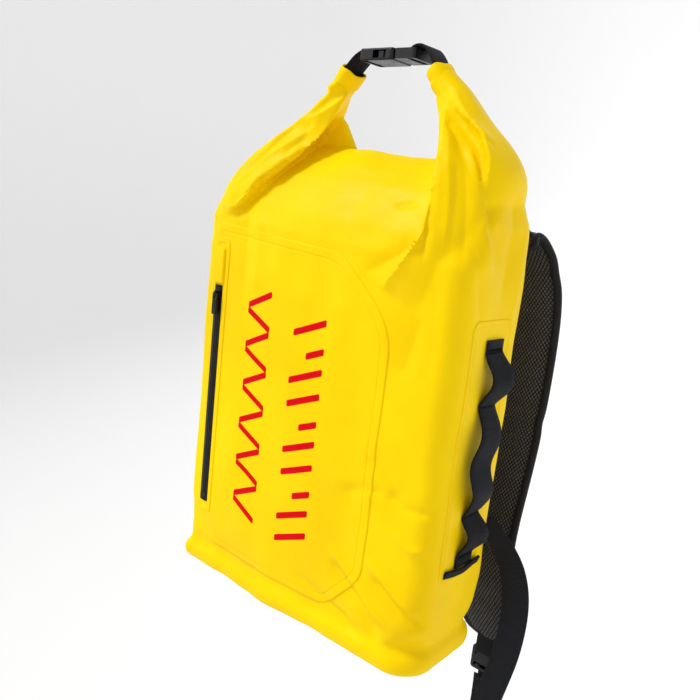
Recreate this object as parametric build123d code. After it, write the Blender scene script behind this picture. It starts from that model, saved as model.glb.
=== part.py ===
from build123d import *
import math
import os

# Roll-top dry bag backpack, closed and hanging from its buckled roll-top.
# Millimetres. The origin is the hang point, under the middle of the buckle, where a hook bears.
# +X is the bag's right seen from the front, -Y is the front, +Z is up.

# ---- driving dimensions -------------------------------------------------------------------
BODY_WIDTH = 290.0
BODY_DEPTH = 112.0
BODY_X = -16.0          # the body hangs a little to the left of its hang point
BODY_Y = -5.0
BOTTOM_Z = -497.0
SIDE_BULGE = 4.0
FRONT_BULGE = 6.0
CORNER_RADIUS = 22.0
BOTTOM_RADIUS = 14.0
WALL = 2.0              # welded tarpaulin with its seam allowance
FRONT_SHOULDER_Z = -150.0
BACK_SHOULDER_Z = -104.0
SKIN_TOP_Z = -87.0       # welded patches stay below this
ROLL_DEPTH = 32.0       # thickness of the rolled mouth, front to back
ROLL_TOP_Z = -72.0
ROOF_Z = -107.0          # the dry compartment ends under the rolled mouth
WEBBING_WIDTH = 25.0
WEBBING = 1.8           # webbing thickness
SKIN = 1.2              # thickness of a welded patch
GAP = 0.3               # clearance between pieces that move apart
FAR = 200.0             # reach of a cutting shape past the bag, front to back
WIDE = 400.0            # and across it

LEFT_X = BODY_X - BODY_WIDTH / 2
RIGHT_X = BODY_X + BODY_WIDTH / 2
FRONT_Y = BODY_Y - BODY_DEPTH / 2
BACK_Y = BODY_Y + BODY_DEPTH / 2

# Closed pocket on the front, with its upright zip near the left edge.
ZIP_X = BODY_X - 121.0
ZIP_TOP_Z = -209.0
ZIP_LENGTH = 219.0
ZIP_TAPE_WIDTH = 11.0
ZIP_CHAIN_WIDTH = 4.2
ZIP_FACING_WIDTH = 20.0
POCKET_LEFT_X = LEFT_X + 12.0
POCKET_RIGHT_X = BODY_X + 87.0
POCKET_TOP_Z = -157.0
POCKET_BOTTOM_Z = -470.0
SLIDER_LENGTH = 9.0
PULL_LENGTH = 20.0

# Side patches and their webbing ladders.
PATCH_WIDTH = 62.0
PATCH_TOP_Z = -196.0
PATCH_BOTTOM_Z = -418.0
LADDER_Y = BODY_Y + 4.0
LADDER_TACKS = [-221.0, -268.0, -360.0, -397.0]
LADDER_BOWS = [11.0, 15.0, 9.0]
LADDER_END = 9.0        # webbing past the first and last tack

# Shoulder straps: centre line in side view (y, z) and in front view (x, z), right side.
PAD_WIDTH = 60.0
PAD_THICKNESS = 9.0
BINDING = 3.0
PAD_SIDE_LINE = [(61, -139), (73, -130), (87, -136), (98, -164), (106, -210), (110, -280), (108, -350),
                 (99, -430), (95, -480), (98, -520)]
PAD_FRONT_LINE = [(82, -120), (92, -136), (101, -160), (105, -205), (103, -300), (99, -400), (102, -450),
                  (112, -490), (120, -520)]
PAD_END_Z = -524.0
PAD_TACKS = [-160.0, -300.0, -480.0]
PAD_WEBBING_START_Y = 63.0  # clear of the anchor tab when the strap swings out
PAD_WEBBING_END_Z = -505.0

# Ladder locks under the pads, and the adjuster webbing below them.
YOKE_WIDTH = 236.0
YOKE_TOP_Z = -118.0
YOKE_BOTTOM_Z = -212.0
TAB_LEFT_X = 66.0        # the tab that holds a strap's top
TAB_RIGHT_X = 112.0
TAB_TOP_Z = -128.0
TAB_BOTTOM_Z = -168.0
BACK_PAD_WIDTH = 176.0
BACK_PAD_DEPTH = 9.0
BACK_PAD_TOP_Z = -228.0
BACK_PAD_BOTTOM_Z = -455.0
BARTACK_HEIGHT = 3.0
BARTACK_INSET = 2.0      # a bartack stops this far inside the webbing's edges
LOCK_X = 121.0
LOCK_Y = 99.0
LOCK_BAR_Z = -537.5
LOCK_WIDTH = 33.0
LOCK_HEIGHT = 25.0
LOOP_RADIUS = 3.6        # inside radius of the webbing loop round the lock's top bar
LOOP_LENGTH = 13.0
ANCHOR_X = 114.0
ANCHOR_Z = -385.0
ADJUSTER_FRONT_LINE = [(118, -382), (127, -405), (133, -430), (136, -465), (136, -510), (130, -560),
                       (123, -600), (121, -640)]
ADJUSTER_SIDE_LINES = {
    "right": [(56, -390), (64, -415), (72, -445), (77, -485), (79, -530), (80, -590), (83, -622), (91, -632),
              (99, -624), (102, -600), (99, -566)],
    "left": [(56, -390), (64, -414), (71, -446), (76, -490), (78, -548), (81, -572), (88, -581), (95, -576),
             (99, -563)]}
TAIL_SIDE_LINES = {
    "right": [(106, -543), (109, -561), (112, -590), (113, -626), (111, -660)],
    "left": [(106, -543), (109, -553), (111, -564), (112, -575), (111, -585)],
}

# Buckle, 25 mm side-release size, lying along X with its underside at z = 0.
BUCKLE_HALF_WIDTH = 15.0
BUCKLE_HEIGHT = 10.0
SOCKET_LEFT_X = -30.0
SOCKET_MOUTH_X = 6.0
CAVITY_HALF_WIDTH = 12.6
CAVITY_DEPTH = 21.0
CATCH = 0.4             # how far a prong's catch stands out past the socket's wall
CATCH_PLAY = 4.2        # free travel before the catches would meet their windows
PLUG_RIGHT_X = 28.0
PRONG_PIVOT_X = 9.0
PRONG_PIVOT_Y = 9.4
PRONG_PIN_RADIUS = 1.0
ZIP_PIN_RADIUS = 0.8
PIN_CLEARANCE = 0.07

# Front view of the closed roll-top: the two arms that rise to the buckle.
ARM_LEFT_OUTER = [(LEFT_X, -150), (-121, -92), (-92, -44), (-56, 0)]
ARM_LEFT_INNER = [(-38, -12), (-55, -34), (-72, -70)]
ARM_RIGHT_INNER = [(54, -77), (56, -34), (40, -16)]
ARM_RIGHT_OUTER = [(55, -4), (93, -42), (117, -80), (RIGHT_X, -114)]
ROLL_LINE = [(-47, -6), (-65, -29), (-83, -58), (-80, -82), (-53, -91), (-6, -91), (40, -94), (65, -88), (71, -66),
             (66, -34), (48, -10)]
ROLL_WIDTH = 26.0
ABOVE_Z = 40.0           # past the top of the arms
GUSSET_EDGE = 11.0       # the side gussets turn this far onto the front and back
GUSSET_LEFT_LINE = [(LEFT_X + GUSSET_EDGE, -151), (-118, -106), (-81, -84), (-84, -60), (-66, -31), (-50, -6),
                    (-65, ABOVE_Z)]
GUSSET_RIGHT_LINE = [(RIGHT_X - GUSSET_EDGE, -121), (97, -106), (66, -86), (70, -66), (65, -34), (49, -6),
                     (60, ABOVE_Z)]

# Webbing from inside each arm, over the bar of its buckle half and down into the slot.
TETHER_LEFT_LINE = [(-66, -32), (-56, -16), (-46, -4), (-38, 4), (-31, 8), (-27, 8.4), (-24.2, 6), (-24, 2)]
TETHER_RIGHT_LINE = [(65, -34), (57, -20), (48, -7), (41, 4), (34, 10.6), (27, 11.3), (22.2, 8.6), (22, 3)]

NODES = {}


# ---- helpers ------------------------------------------------------------------------------
def box(x0, x1, y0, y1, z0, z1):
    size = (x1 - x0, y1 - y0, z1 - z0)
    return Pos((x0 + x1) / 2, (y0 + y1) / 2, (z0 + z1) / 2) * Box(*size)


def front_prism(points, y0=-FAR, y1=FAR):
    """A prism whose outline is drawn in front view, as (x, z) points."""
    outline = Polyline(*[(x, 0, z) for x, z in points], close=True)
    face = make_face(outline)
    return Pos(0, y0, 0) * extrude(face, amount=y1 - y0, dir=(0, 1, 0))


def side_prism(points, x0=-WIDE, x1=WIDE):
    """A prism whose outline is drawn in side view, as (y, z) points."""
    outline = Polyline(*[(0, y, z) for y, z in points], close=True)
    face = make_face(outline)
    return Pos(x0, 0, 0) * extrude(face, amount=x1 - x0, dir=(1, 0, 0))


def offset_line(points, distance, samples=28):
    """Points beside a smooth line through the given points, at a distance along its left normal."""
    line = Spline(*[(u, v, 0) for u, v in points])
    beside = []
    for step in range(samples + 1):
        place = line.position_at(step / samples)
        along = line.tangent_at(step / samples)
        beside.append((place.X - along.Y * distance, place.Y + along.X * distance))
    return beside


def ribbon_outline(points, near, far, samples=28):
    """Closed outline of a ribbon that follows a smooth line, between two distances beside it."""
    one_side = offset_line(points, near, samples)
    other_side = offset_line(points, far, samples)
    return one_side, other_side


def ribbon(points, near, far, place, direction, amount, samples=28):
    """A ribbon solid: place maps the line's (u, v) to space, direction is the way it is extruded."""
    one_side, other_side = ribbon_outline(points, near, far, samples)
    first = Spline(*[place(u, v) for u, v in one_side])
    second = Spline(*[place(u, v) for u, v in other_side])
    start = Line(first @ 0, second @ 0)
    end = Line(first @ 1, second @ 1)
    return extrude(make_face([first, second, start, end]), amount=amount, dir=direction)


def side_ribbon(points, near, far, x0, x1):
    return ribbon(points, near, far, lambda y, z: (x0, y, z), (1, 0, 0), x1 - x0)


def front_ribbon(points, near, far, y0, y1):
    return ribbon(points, near, far, lambda x, z: (x, y0, z), (0, 1, 0), y1 - y0)


def biggest(shape):
    """The largest solid of a cut, without the slivers beside it."""
    return max(shape.solids(), key=lambda solid: solid.volume)


def mirrored(shape):
    """The same piece on the bag's other side."""
    return Pos(2 * BODY_X, 0, 0) * mirror(shape, about=Plane.YZ)


def both_sides(name, shape):
    NODES[name + "_right"] = shape
    NODES[name + "_left"] = mirrored(shape)


# ---- bag body -----------------------------------------------------------------------------
def body_section(grow=0.0):
    half_width = BODY_WIDTH / 2 - SIDE_BULGE + grow
    front = -BODY_DEPTH / 2 + FRONT_BULGE - grow
    back = BODY_DEPTH / 2 + grow
    edges = [
        ThreePointArc((-half_width, front), (0, front - FRONT_BULGE), (half_width, front)),
        ThreePointArc((half_width, front), (half_width + SIDE_BULGE, 0), (half_width, back)),
        Line((half_width, back), (-half_width, back)),
        ThreePointArc((-half_width, back), (-half_width - SIDE_BULGE, 0), (-half_width, front)),
    ]
    face = make_face(edges)
    return fillet(face.vertices(), CORNER_RADIUS + grow)


def body_column(grow=0.0):
    """The body's section carried from the bottom up past the buckle, with a rounded bottom."""
    bottom = BOTTOM_Z - grow
    column = extrude(Pos(BODY_X, BODY_Y, bottom) * body_section(grow), amount=40 - bottom)
    lowest = column.edges().group_by(Axis.Z)[0]
    return fillet(lowest, BOTTOM_RADIUS + grow)


def arms_outline():
    return ([(LEFT_X - 20, BOTTOM_Z - 20), (LEFT_X - 20, -150)] + ARM_LEFT_OUTER + ARM_LEFT_INNER
            + ARM_RIGHT_INNER + ARM_RIGHT_OUTER + [(RIGHT_X + 20, -112), (RIGHT_X + 20, BOTTOM_Z - 20)])


def depth_outline(inset=0.0):
    roll_half = ROLL_DEPTH / 2 - inset
    front = FRONT_Y + inset
    back = BACK_Y - inset
    return [(front - 30, BOTTOM_Z - 20), (back + 30, BOTTOM_Z - 20), (back + 30, BACK_SHOULDER_Z - inset),
            (back, BACK_SHOULDER_Z - inset), (back - 14, BACK_SHOULDER_Z + 18 - inset),
            (roll_half, ROLL_TOP_Z - inset), (roll_half, 30), (-roll_half, 30),
            (-roll_half, ROLL_TOP_Z - inset), (front + 22, -100 - inset),
            (front, FRONT_SHOULDER_Z - inset), (front - 30, FRONT_SHOULDER_Z - inset)]


def bag_outer():
    return body_column() & front_prism(arms_outline()) & side_prism(depth_outline())


def bag_hollow():
    """The dry compartment: it stops under the rolled mouth."""
    roof = [(LEFT_X, BOTTOM_Z), (LEFT_X, -152), (-122, ROOF_Z), (98, ROOF_Z), (RIGHT_X, -122),
            (RIGHT_X, BOTTOM_Z)]
    return body_column(-WALL) & side_prism(depth_outline(WALL)) & front_prism(roof)


def roll_slab():
    return (front_ribbon(ROLL_LINE, -ROLL_WIDTH / 2, ROLL_WIDTH / 2, -ROLL_DEPTH / 2, ROLL_DEPTH / 2)
            & front_prism(arms_outline()))


def stiffener():
    """Strip welded along the mouth, rolled up inside it: its ends show at the ends of the arms."""
    strip = front_ribbon(ROLL_LINE, -1.0, 1.0, -10.0, 10.0)
    return biggest(strip - tether_pocket_left() - tether_pocket_right())


def make_bag():
    outer = bag_outer()
    hollow = bag_hollow()
    shell = outer - hollow
    roll = roll_slab() & outer
    strip = stiffener()
    roll = roll - tether_pocket_left() - tether_pocket_right() - strip
    NODES["roll_top"] = biggest(roll)
    NODES["mouth_stiffener"] = strip
    rest = biggest(shell - roll_slab())
    base_z = BOTTOM_Z + BOTTOM_RADIUS
    above = box(-WIDE, WIDE, -FAR, FAR, base_z, ABOVE_Z)
    low = box(-WIDE, WIDE, -FAR, FAR, BOTTOM_Z - 5, base_z)
    left = front_prism([(-WIDE, base_z - 40), (LEFT_X + GUSSET_EDGE, base_z - 40)] + GUSSET_LEFT_LINE
                       + [(-WIDE, ABOVE_Z)])
    right = front_prism([(WIDE, base_z - 40), (RIGHT_X - GUSSET_EDGE, base_z - 40)] + GUSSET_RIGHT_LINE
                        + [(WIDE, ABOVE_Z)])
    NODES["bottom_panel"] = biggest(rest & low)
    walls = rest & above
    NODES["side_gusset_left"] = biggest(walls & left)
    NODES["side_gusset_right"] = biggest(walls & right)
    middle = walls - left - right
    NODES["front_panel"] = biggest(middle & box(-WIDE, WIDE, -FAR, BODY_Y, base_z, ABOVE_Z))
    NODES["back_panel"] = biggest(middle & box(-WIDE, WIDE, BODY_Y, FAR, base_z, ABOVE_Z))


# ---- patches, pocket and zip on the skin --------------------------------------------------
def skin_layer(near, far):
    """A skin that follows the body's section, between two distances outside it."""
    place = Pos(BODY_X, BODY_Y, BOTTOM_Z - 10)
    height = SKIN_TOP_Z - BOTTOM_Z + 10
    return extrude(place * body_section(far), amount=height) - extrude(place * body_section(near), amount=height)


def rounded_front(x0, x1, z0, z1, radius, y0=-FAR, y1=BODY_Y):
    """A prism with a rounded rectangular outline in front view."""
    outline = RectangleRounded(x1 - x0, z1 - z0, radius)
    face = Plane.XZ * outline
    solid = extrude(face, amount=y1 - y0, dir=(0, 1, 0))
    return Pos((x0 + x1) / 2, y0, (z0 + z1) / 2) * solid


def pocket_outline():
    """The pocket's outline in front view: its upper right corner is cut off by a long slant."""
    return [(POCKET_LEFT_X, POCKET_BOTTOM_Z + 30), (POCKET_LEFT_X, POCKET_TOP_Z - 10),
            (POCKET_LEFT_X + 14, POCKET_TOP_Z), (POCKET_RIGHT_X - 42, POCKET_TOP_Z),
            (POCKET_RIGHT_X - 8, POCKET_TOP_Z - 26), (POCKET_RIGHT_X, POCKET_TOP_Z - 62),
            (POCKET_RIGHT_X, POCKET_BOTTOM_Z + 46), (POCKET_RIGHT_X - 40, POCKET_BOTTOM_Z),
            (POCKET_LEFT_X + 30, POCKET_BOTTOM_Z)]


def make_pocket():
    tape_bottom = ZIP_TOP_Z - ZIP_LENGTH
    half_tape = ZIP_TAPE_WIDTH / 2
    half_facing = ZIP_FACING_WIDTH / 2
    window = rounded_front(ZIP_X - half_tape, ZIP_X + half_tape, tape_bottom, ZIP_TOP_Z, 3.0)
    facing_area = rounded_front(ZIP_X - half_facing, ZIP_X + half_facing, tape_bottom - 12, ZIP_TOP_Z + 44,
                                8.0)
    NODES["pocket_panel"] = biggest(skin_layer(0, SKIN) & front_prism(pocket_outline(), y1=BODY_Y))
    NODES["zip_facing"] = biggest((skin_layer(SKIN, SKIN + 1) & facing_area) - window)
    NODES["zip_tape"] = biggest(skin_layer(SKIN, SKIN + 0.6) & window)
    garage = rounded_front(ZIP_X - 7, ZIP_X + 7, ZIP_TOP_Z + 1, ZIP_TOP_Z + 36, 6.5)
    NODES["zip_garage"] = biggest(skin_layer(SKIN + 1, SKIN + 2.2) & garage)


def surface_y(x):
    """The front skin's y at a given x, where the front is a shallow arc."""
    half = BODY_WIDTH / 2 - SIDE_BULGE
    return FRONT_Y + FRONT_BULGE * ((x - BODY_X) / half) ** 2


def make_zip():
    tape_y = surface_y(ZIP_X) - SKIN - 0.6
    tape_bottom = ZIP_TOP_Z - ZIP_LENGTH
    half = ZIP_CHAIN_WIDTH / 2
    chain_y = tape_y - 1.2
    chain = box(ZIP_X - half, ZIP_X + half, chain_y, tape_y + 0.5, tape_bottom + 8, ZIP_TOP_Z - 5)
    under = skin_layer(0, SKIN) + NODES["zip_tape"]
    NODES["zip_chain"] = biggest(chain - under)
    stops = []
    for low, high in ((tape_bottom + 4, tape_bottom + 8), (ZIP_TOP_Z - 5, ZIP_TOP_Z - 2)):
        stops.append(box(ZIP_X - half - 0.8, ZIP_X + half + 0.8, chain_y - 0.3, tape_y + 0.5, low, high))
    NODES["zip_stops"] = Compound(children=[biggest(solid - under) for solid in stops])
    make_slider(tape_y, chain_y)


def make_slider(tape_y, chain_y):
    """A box slider astride the chain, parked at the top, and the pull on its lug."""
    top = ZIP_TOP_Z - 5 - GAP
    low = top - SLIDER_LENGTH
    half = ZIP_CHAIN_WIDTH / 2 + GAP
    outer_half = half + 1.2
    plate_in = chain_y - GAP
    plate_out = plate_in - 1.3
    body = box(ZIP_X - outer_half, ZIP_X + outer_half, plate_out, plate_in, low, top)
    body = fillet(body.edges().filter_by(Axis.Y), 1.2)
    for side in (-1, 1):
        edge = sorted((ZIP_X + side * half, ZIP_X + side * outer_half))
        body += box(edge[0], edge[1], plate_in - 0.2, tape_y - 0.7, low + 1.2, top - 1.2)
    pivot_y = plate_out - 1.7
    pivot_z = (low + top) / 2 + 1.5
    lug = box(ZIP_X - 0.8, ZIP_X + 0.8, plate_out - 3.0, plate_out + 0.3, pivot_z - 2.6, pivot_z + 2.2)
    pin_axis = Location((ZIP_X, pivot_y, pivot_z), (0, 90, 0))
    body = body + lug - pin_axis * Cylinder(ZIP_PIN_RADIUS + PIN_CLEARANCE, 10)
    NODES["zip_slider"] = body
    bar = pin_axis * Cylinder(ZIP_PIN_RADIUS, 4.4)
    pull = bar
    for side in (-1, 1):
        edge = sorted((ZIP_X + side * 1.3, ZIP_X + side * 2.7))
        pull += box(edge[0], edge[1], pivot_y - 0.8, pivot_y + 0.8, pivot_z - 5.4, pivot_z + 0.8)
    tongue = box(ZIP_X - 2.7, ZIP_X + 2.7, pivot_y - 0.8, pivot_y + 0.8, pivot_z - PULL_LENGTH, pivot_z - 4.4)
    tongue = fillet(tongue.edges().filter_by(Axis.Y), 1.6)
    NODES["zip_pull"] = pull + tongue


def make_side_patches():
    """A long welded patch on each side, and the webbing ladder tacked along it."""
    half = PATCH_WIDTH / 2
    outline = side_prism([(BODY_Y - half + 4, PATCH_BOTTOM_Z), (BODY_Y + half - 4, PATCH_BOTTOM_Z),
                          (BODY_Y + half, PATCH_BOTTOM_Z + 8), (BODY_Y + half, PATCH_TOP_Z - 14),
                          (BODY_Y + half - 14, PATCH_TOP_Z), (BODY_Y - half + 14, PATCH_TOP_Z),
                          (BODY_Y - half, PATCH_TOP_Z - 14), (BODY_Y - half, PATCH_BOTTOM_Z + 8)],
                         x0=BODY_X, x1=BODY_X + 300)
    both_sides("side_patch", biggest(skin_layer(0, SKIN) & outline))


def ladder_line():
    """Centre line of the ladder's webbing in front view (x, z): flat at each tack, bowed between."""
    base = RIGHT_X + SKIN + WEBBING / 2 + 0.3
    points = [(base, LADDER_TACKS[0] + LADDER_END), (base, LADDER_TACKS[0] + LADDER_END / 2)]
    steps = 14
    for high, low, bow in zip(LADDER_TACKS, LADDER_TACKS[1:], LADDER_BOWS):
        for step in range(steps):
            share = step / steps
            hang = math.sin(math.pi * share ** 1.15) ** 2
            points.append((base + bow * hang, high - (high - low) * share))
    points += [(base, LADDER_TACKS[-1]), (base, LADDER_TACKS[-1] - LADDER_END)]
    return points


def make_ladders():
    half = WEBBING_WIDTH / 2
    line = ladder_line()
    webbing = ribbon(line, -WEBBING / 2, WEBBING / 2, lambda x, z: (x, LADDER_Y - half, z), (0, 1, 0),
                     WEBBING_WIDTH, 120)
    both_sides("daisy_chain", webbing)
    base = RIGHT_X + SKIN + 0.3
    tacks = []
    for tack_z in LADDER_TACKS:
        tacks.append(box(base + WEBBING + 0.4, base + WEBBING + 1.2,
                         LADDER_Y - half + BARTACK_INSET, LADDER_Y + half - BARTACK_INSET,
                         tack_z - BARTACK_HEIGHT / 2, tack_z + BARTACK_HEIGHT / 2))
    both_sides("daisy_bartacks", Compound(children=tacks))


# ---- harness ------------------------------------------------------------------------------
def pad_layer(near, far, half_width, top_z=-90.0, end_z=PAD_END_Z):
    """One layer of a shoulder strap: a curved slab in side view, cut to the strap's outline."""
    slab = side_ribbon(PAD_SIDE_LINE, near, far, 20, 190)
    outline = front_ribbon(PAD_FRONT_LINE, -half_width, half_width, 20, 160)
    keep = box(0, 200, 0, 200, end_z, top_z)
    return biggest(slab & outline & keep)


def make_straps():
    half = PAD_THICKNESS / 2
    width = PAD_WIDTH / 2
    foam = pad_layer(-half, half, width - BINDING)
    whole = pad_layer(-half + 1, half - 1, width)
    both_sides("shoulder_pad", foam)
    both_sides("pad_binding", Compound(children=(whole - pad_layer(-half, half, width - BINDING)).solids()))
    webbing = pad_layer(half + 0.1, half + 0.1 + WEBBING, WEBBING_WIDTH / 2, end_z=PAD_WEBBING_END_Z)
    both_sides("pad_webbing", biggest(webbing & box(0, 200, PAD_WEBBING_START_Y, 200, -600, 0)))
    tacks = []
    for tack_z in PAD_TACKS:
        tacks.append(pad_layer(half + 0.2 + WEBBING, half + 1.0 + WEBBING, WEBBING_WIDTH / 2 - BARTACK_INSET,
                               top_z=tack_z + 2, end_z=tack_z - 2))
    both_sides("pad_bartacks", Compound(children=tacks))


def make_yoke():
    """Padded back panel, the patch that carries the strap tops, and the tabs that hold them."""
    half = YOKE_WIDTH / 2
    panel = box(BODY_X - half, BODY_X + half, BACK_Y + 0.2, BACK_Y + 0.2 + SKIN, YOKE_BOTTOM_Z, YOKE_TOP_Z)
    panel = fillet(panel.edges().filter_by(Axis.Y), 12)
    NODES["yoke_patch"] = panel
    tab = box(TAB_LEFT_X, TAB_RIGHT_X, BACK_Y + 1.5, BACK_Y + 3.3, TAB_BOTTOM_Z, TAB_TOP_Z)
    tab = fillet(tab.edges().filter_by(Axis.Y), 4)
    both_sides("strap_anchor", tab)
    half = BACK_PAD_WIDTH / 2
    pad = box(BODY_X - half, BODY_X + half, BACK_Y + 0.2, BACK_Y + BACK_PAD_DEPTH, BACK_PAD_BOTTOM_Z,
              BACK_PAD_TOP_Z)
    pad = fillet(pad.edges().filter_by(Axis.Y), 18)
    pad = fillet(pad.faces().sort_by(Axis.Y)[-1].edges(), 4)
    NODES["back_pad"] = pad


def make_locks():
    """Ladder locks: a frame with three bars, hung by its top bar from the pad's webbing loop."""
    half_width = LOCK_WIDTH / 2
    slot = WEBBING_WIDTH / 2 + 1
    top = LOCK_BAR_Z + 2.4
    low = top - LOCK_HEIGHT
    frame = box(LOCK_X - half_width, LOCK_X + half_width, LOCK_Y - 2.5, LOCK_Y + 2.5, low, top)
    frame = fillet(frame.edges().filter_by(Axis.Y), 3)
    frame -= box(LOCK_X - slot, LOCK_X + slot, LOCK_Y - 6, LOCK_Y + 6, LOCK_BAR_Z - 7.0, LOCK_BAR_Z - 2.0)
    frame -= box(LOCK_X - slot, LOCK_X + slot, LOCK_Y - 6, LOCK_Y + 6, low + 3.0, low + 7.0)
    lip = box(LOCK_X - half_width + 3, LOCK_X + half_width - 3, LOCK_Y + 2.4, LOCK_Y + 5, low, low + 4)
    frame += lip
    frame -= box(LOCK_X - slot, LOCK_X + slot, LOCK_Y - 6, LOCK_Y + 6, LOCK_BAR_Z + 2.2, top + 5)
    both_sides("ladder_lock", frame)
    make_lock_loop()


def make_lock_loop():
    """The short webbing loop at the pad's end that the lock's top bar hangs in."""
    radius = LOOP_RADIUS
    centre_y = LOCK_Y
    outer = radius + WEBBING
    ring = Location((LOCK_X, centre_y, LOCK_BAR_Z), (0, 90, 0)) * (
        Cylinder(outer, WEBBING_WIDTH) - Cylinder(radius, WEBBING_WIDTH + 2))
    lower = ring & box(0, 200, 0, 200, LOCK_BAR_Z - 20, LOCK_BAR_Z)
    legs = box(LOCK_X - WEBBING_WIDTH / 2, LOCK_X + WEBBING_WIDTH / 2, centre_y - outer, centre_y - radius,
               LOCK_BAR_Z, LOCK_BAR_Z + LOOP_LENGTH)
    legs += box(LOCK_X - WEBBING_WIDTH / 2, LOCK_X + WEBBING_WIDTH / 2, centre_y + radius, centre_y + outer,
                LOCK_BAR_Z, LOCK_BAR_Z + LOOP_LENGTH)
    legs += box(LOCK_X - WEBBING_WIDTH / 2, LOCK_X + WEBBING_WIDTH / 2, centre_y - outer, centre_y + outer,
                LOCK_BAR_Z + LOOP_LENGTH - 2, LOCK_BAR_Z + LOOP_LENGTH)
    both_sides("lock_loop", lower + legs)


def make_adjusters():
    half = WEBBING_WIDTH / 2
    outline = front_ribbon(ADJUSTER_FRONT_LINE, -half, half, 20, 160)
    for side, place in (("right", lambda shape: shape), ("left", mirrored)):
        slab = side_ribbon(ADJUSTER_SIDE_LINES[side], -WEBBING / 2, WEBBING / 2, 60, 190)
        NODES["adjuster_webbing_" + side] = place(biggest(slab & outline))
        tail = side_ribbon(TAIL_SIDE_LINES[side], -WEBBING / 2, WEBBING / 2, LOCK_X - half, LOCK_X + half)
        NODES["webbing_tail_" + side] = place(tail)
    patch = box(ANCHOR_X - 22, ANCHOR_X + 10, BACK_Y + 0.2, BACK_Y + 0.2 + SKIN, ANCHOR_Z - 24, ANCHOR_Z + 24)
    patch = fillet(patch.edges().filter_by(Axis.Y), 6)
    both_sides("anchor_patch", patch)


# ---- buckle and its webbing ---------------------------------------------------------------
def make_socket():
    half = BUCKLE_HALF_WIDTH
    top = BUCKLE_HEIGHT
    body = box(SOCKET_LEFT_X, SOCKET_MOUTH_X, -half, half, 0, top)
    body = fillet(body.edges().filter_by(Axis.Z), 3)
    body = fillet(body.edges().filter_by(Axis.X), 1.6)
    cavity_left = SOCKET_MOUTH_X - CAVITY_DEPTH
    body -= box(cavity_left, SOCKET_MOUTH_X + 1, -CAVITY_HALF_WIDTH, CAVITY_HALF_WIDTH, 1.8, top - 1.8)
    window_right = SOCKET_MOUTH_X - 7
    body -= box(cavity_left, window_right, -half - 1, half + 1, 1.8, top - 1.8)
    slot = WEBBING_WIDTH / 2 + 0.4
    body -= box(SOCKET_LEFT_X + 3.4, SOCKET_LEFT_X + 8.4, -slot, slot, -1, top + 1)
    body -= box(SOCKET_LEFT_X - 1, SOCKET_LEFT_X + 3.5, -slot, slot, 6.5, top + 1)
    NODES["buckle_socket"] = body


def make_plug():
    half = BUCKLE_HALF_WIDTH
    top = BUCKLE_HEIGHT
    low_x = SOCKET_MOUTH_X + 0.5
    body = box(low_x, PLUG_RIGHT_X, -half + 1, half - 1, 0.8, top - 0.8)
    body = fillet(body.edges().filter_by(Axis.Z), 2.5)
    slot = WEBBING_WIDTH / 2 + 0.4
    body -= box(PLUG_RIGHT_X - 8.4, PLUG_RIGHT_X - 3.4, -slot, slot, -1, top + 1)
    for rib in range(4):
        rib_x = low_x + 5.5 + rib * 1.9
        body += box(rib_x, rib_x + 0.9, -half + 4, half - 4, top - 1.0, top - 0.1)
    guide = box(SOCKET_MOUTH_X - 17, low_x + 1, -2.2, 2.2, 2.6, top - 2.6)
    body += guide
    for side in (-1, 1):
        pocket = box(low_x - 1, PRONG_PIVOT_X + 2.2, side * PRONG_PIVOT_Y - 2.9, side * PRONG_PIVOT_Y + 2.9,
                     2.0, top - 2.0)
        body -= pocket
        body += Pos(PRONG_PIVOT_X, side * PRONG_PIVOT_Y, top / 2) * Cylinder(PRONG_PIN_RADIUS, top - 3)
    NODES["buckle_plug"] = body


def make_prongs():
    """Two spring prongs: each swings on its root, and its catch sits in the socket's side window."""
    top = BUCKLE_HEIGHT
    window_edge = SOCKET_MOUTH_X - 7
    shoulder_x = window_edge - CATCH_PLAY
    tip_x = SOCKET_MOUTH_X - CAVITY_DEPTH + 1.6
    wall = CAVITY_HALF_WIDTH
    for side, name in ((-1, "front"), (1, "back")):
        outline = [(PRONG_PIVOT_X + 1.8, PRONG_PIVOT_Y - 1.9), (PRONG_PIVOT_X + 1.8, PRONG_PIVOT_Y + 1.9),
                   (SOCKET_MOUTH_X + 1, wall - 1.3), (shoulder_x + 0.6, wall - 0.7), (shoulder_x, wall + CATCH),
                   (shoulder_x - 5, wall + CATCH), (tip_x, wall - 2.2), (tip_x, wall - 4.8),
                   (shoulder_x - 2, wall - 3.8), (SOCKET_MOUTH_X, PRONG_PIVOT_Y - 1.4)]
        face = make_face(Polyline(*[(x, side * y) for x, y in outline], close=True))
        prong = Pos(0, 0, 2.3) * extrude(face, amount=top - 4.6, dir=(0, 0, 1))
        bore = Cylinder(PRONG_PIN_RADIUS + PIN_CLEARANCE, top)
        prong -= Pos(PRONG_PIVOT_X, side * PRONG_PIVOT_Y, top / 2) * bore
        NODES["buckle_prong_" + name] = prong


def tether_pocket_left():
    return front_ribbon(TETHER_LEFT_LINE, -1.2, 1.2, -13, 13)


def tether_pocket_right():
    return front_ribbon(TETHER_RIGHT_LINE, -1.2, 1.2, -13, 13)


def make_tethers():
    """Webbing from each end of the rolled mouth to its half of the buckle."""
    half = WEBBING_WIDTH / 2
    NODES["tether_left"] = front_ribbon(TETHER_LEFT_LINE, -WEBBING / 2, WEBBING / 2, -half, half)
    NODES["tether_right"] = front_ribbon(TETHER_RIGHT_LINE, -WEBBING / 2, WEBBING / 2, -half, half)


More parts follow.
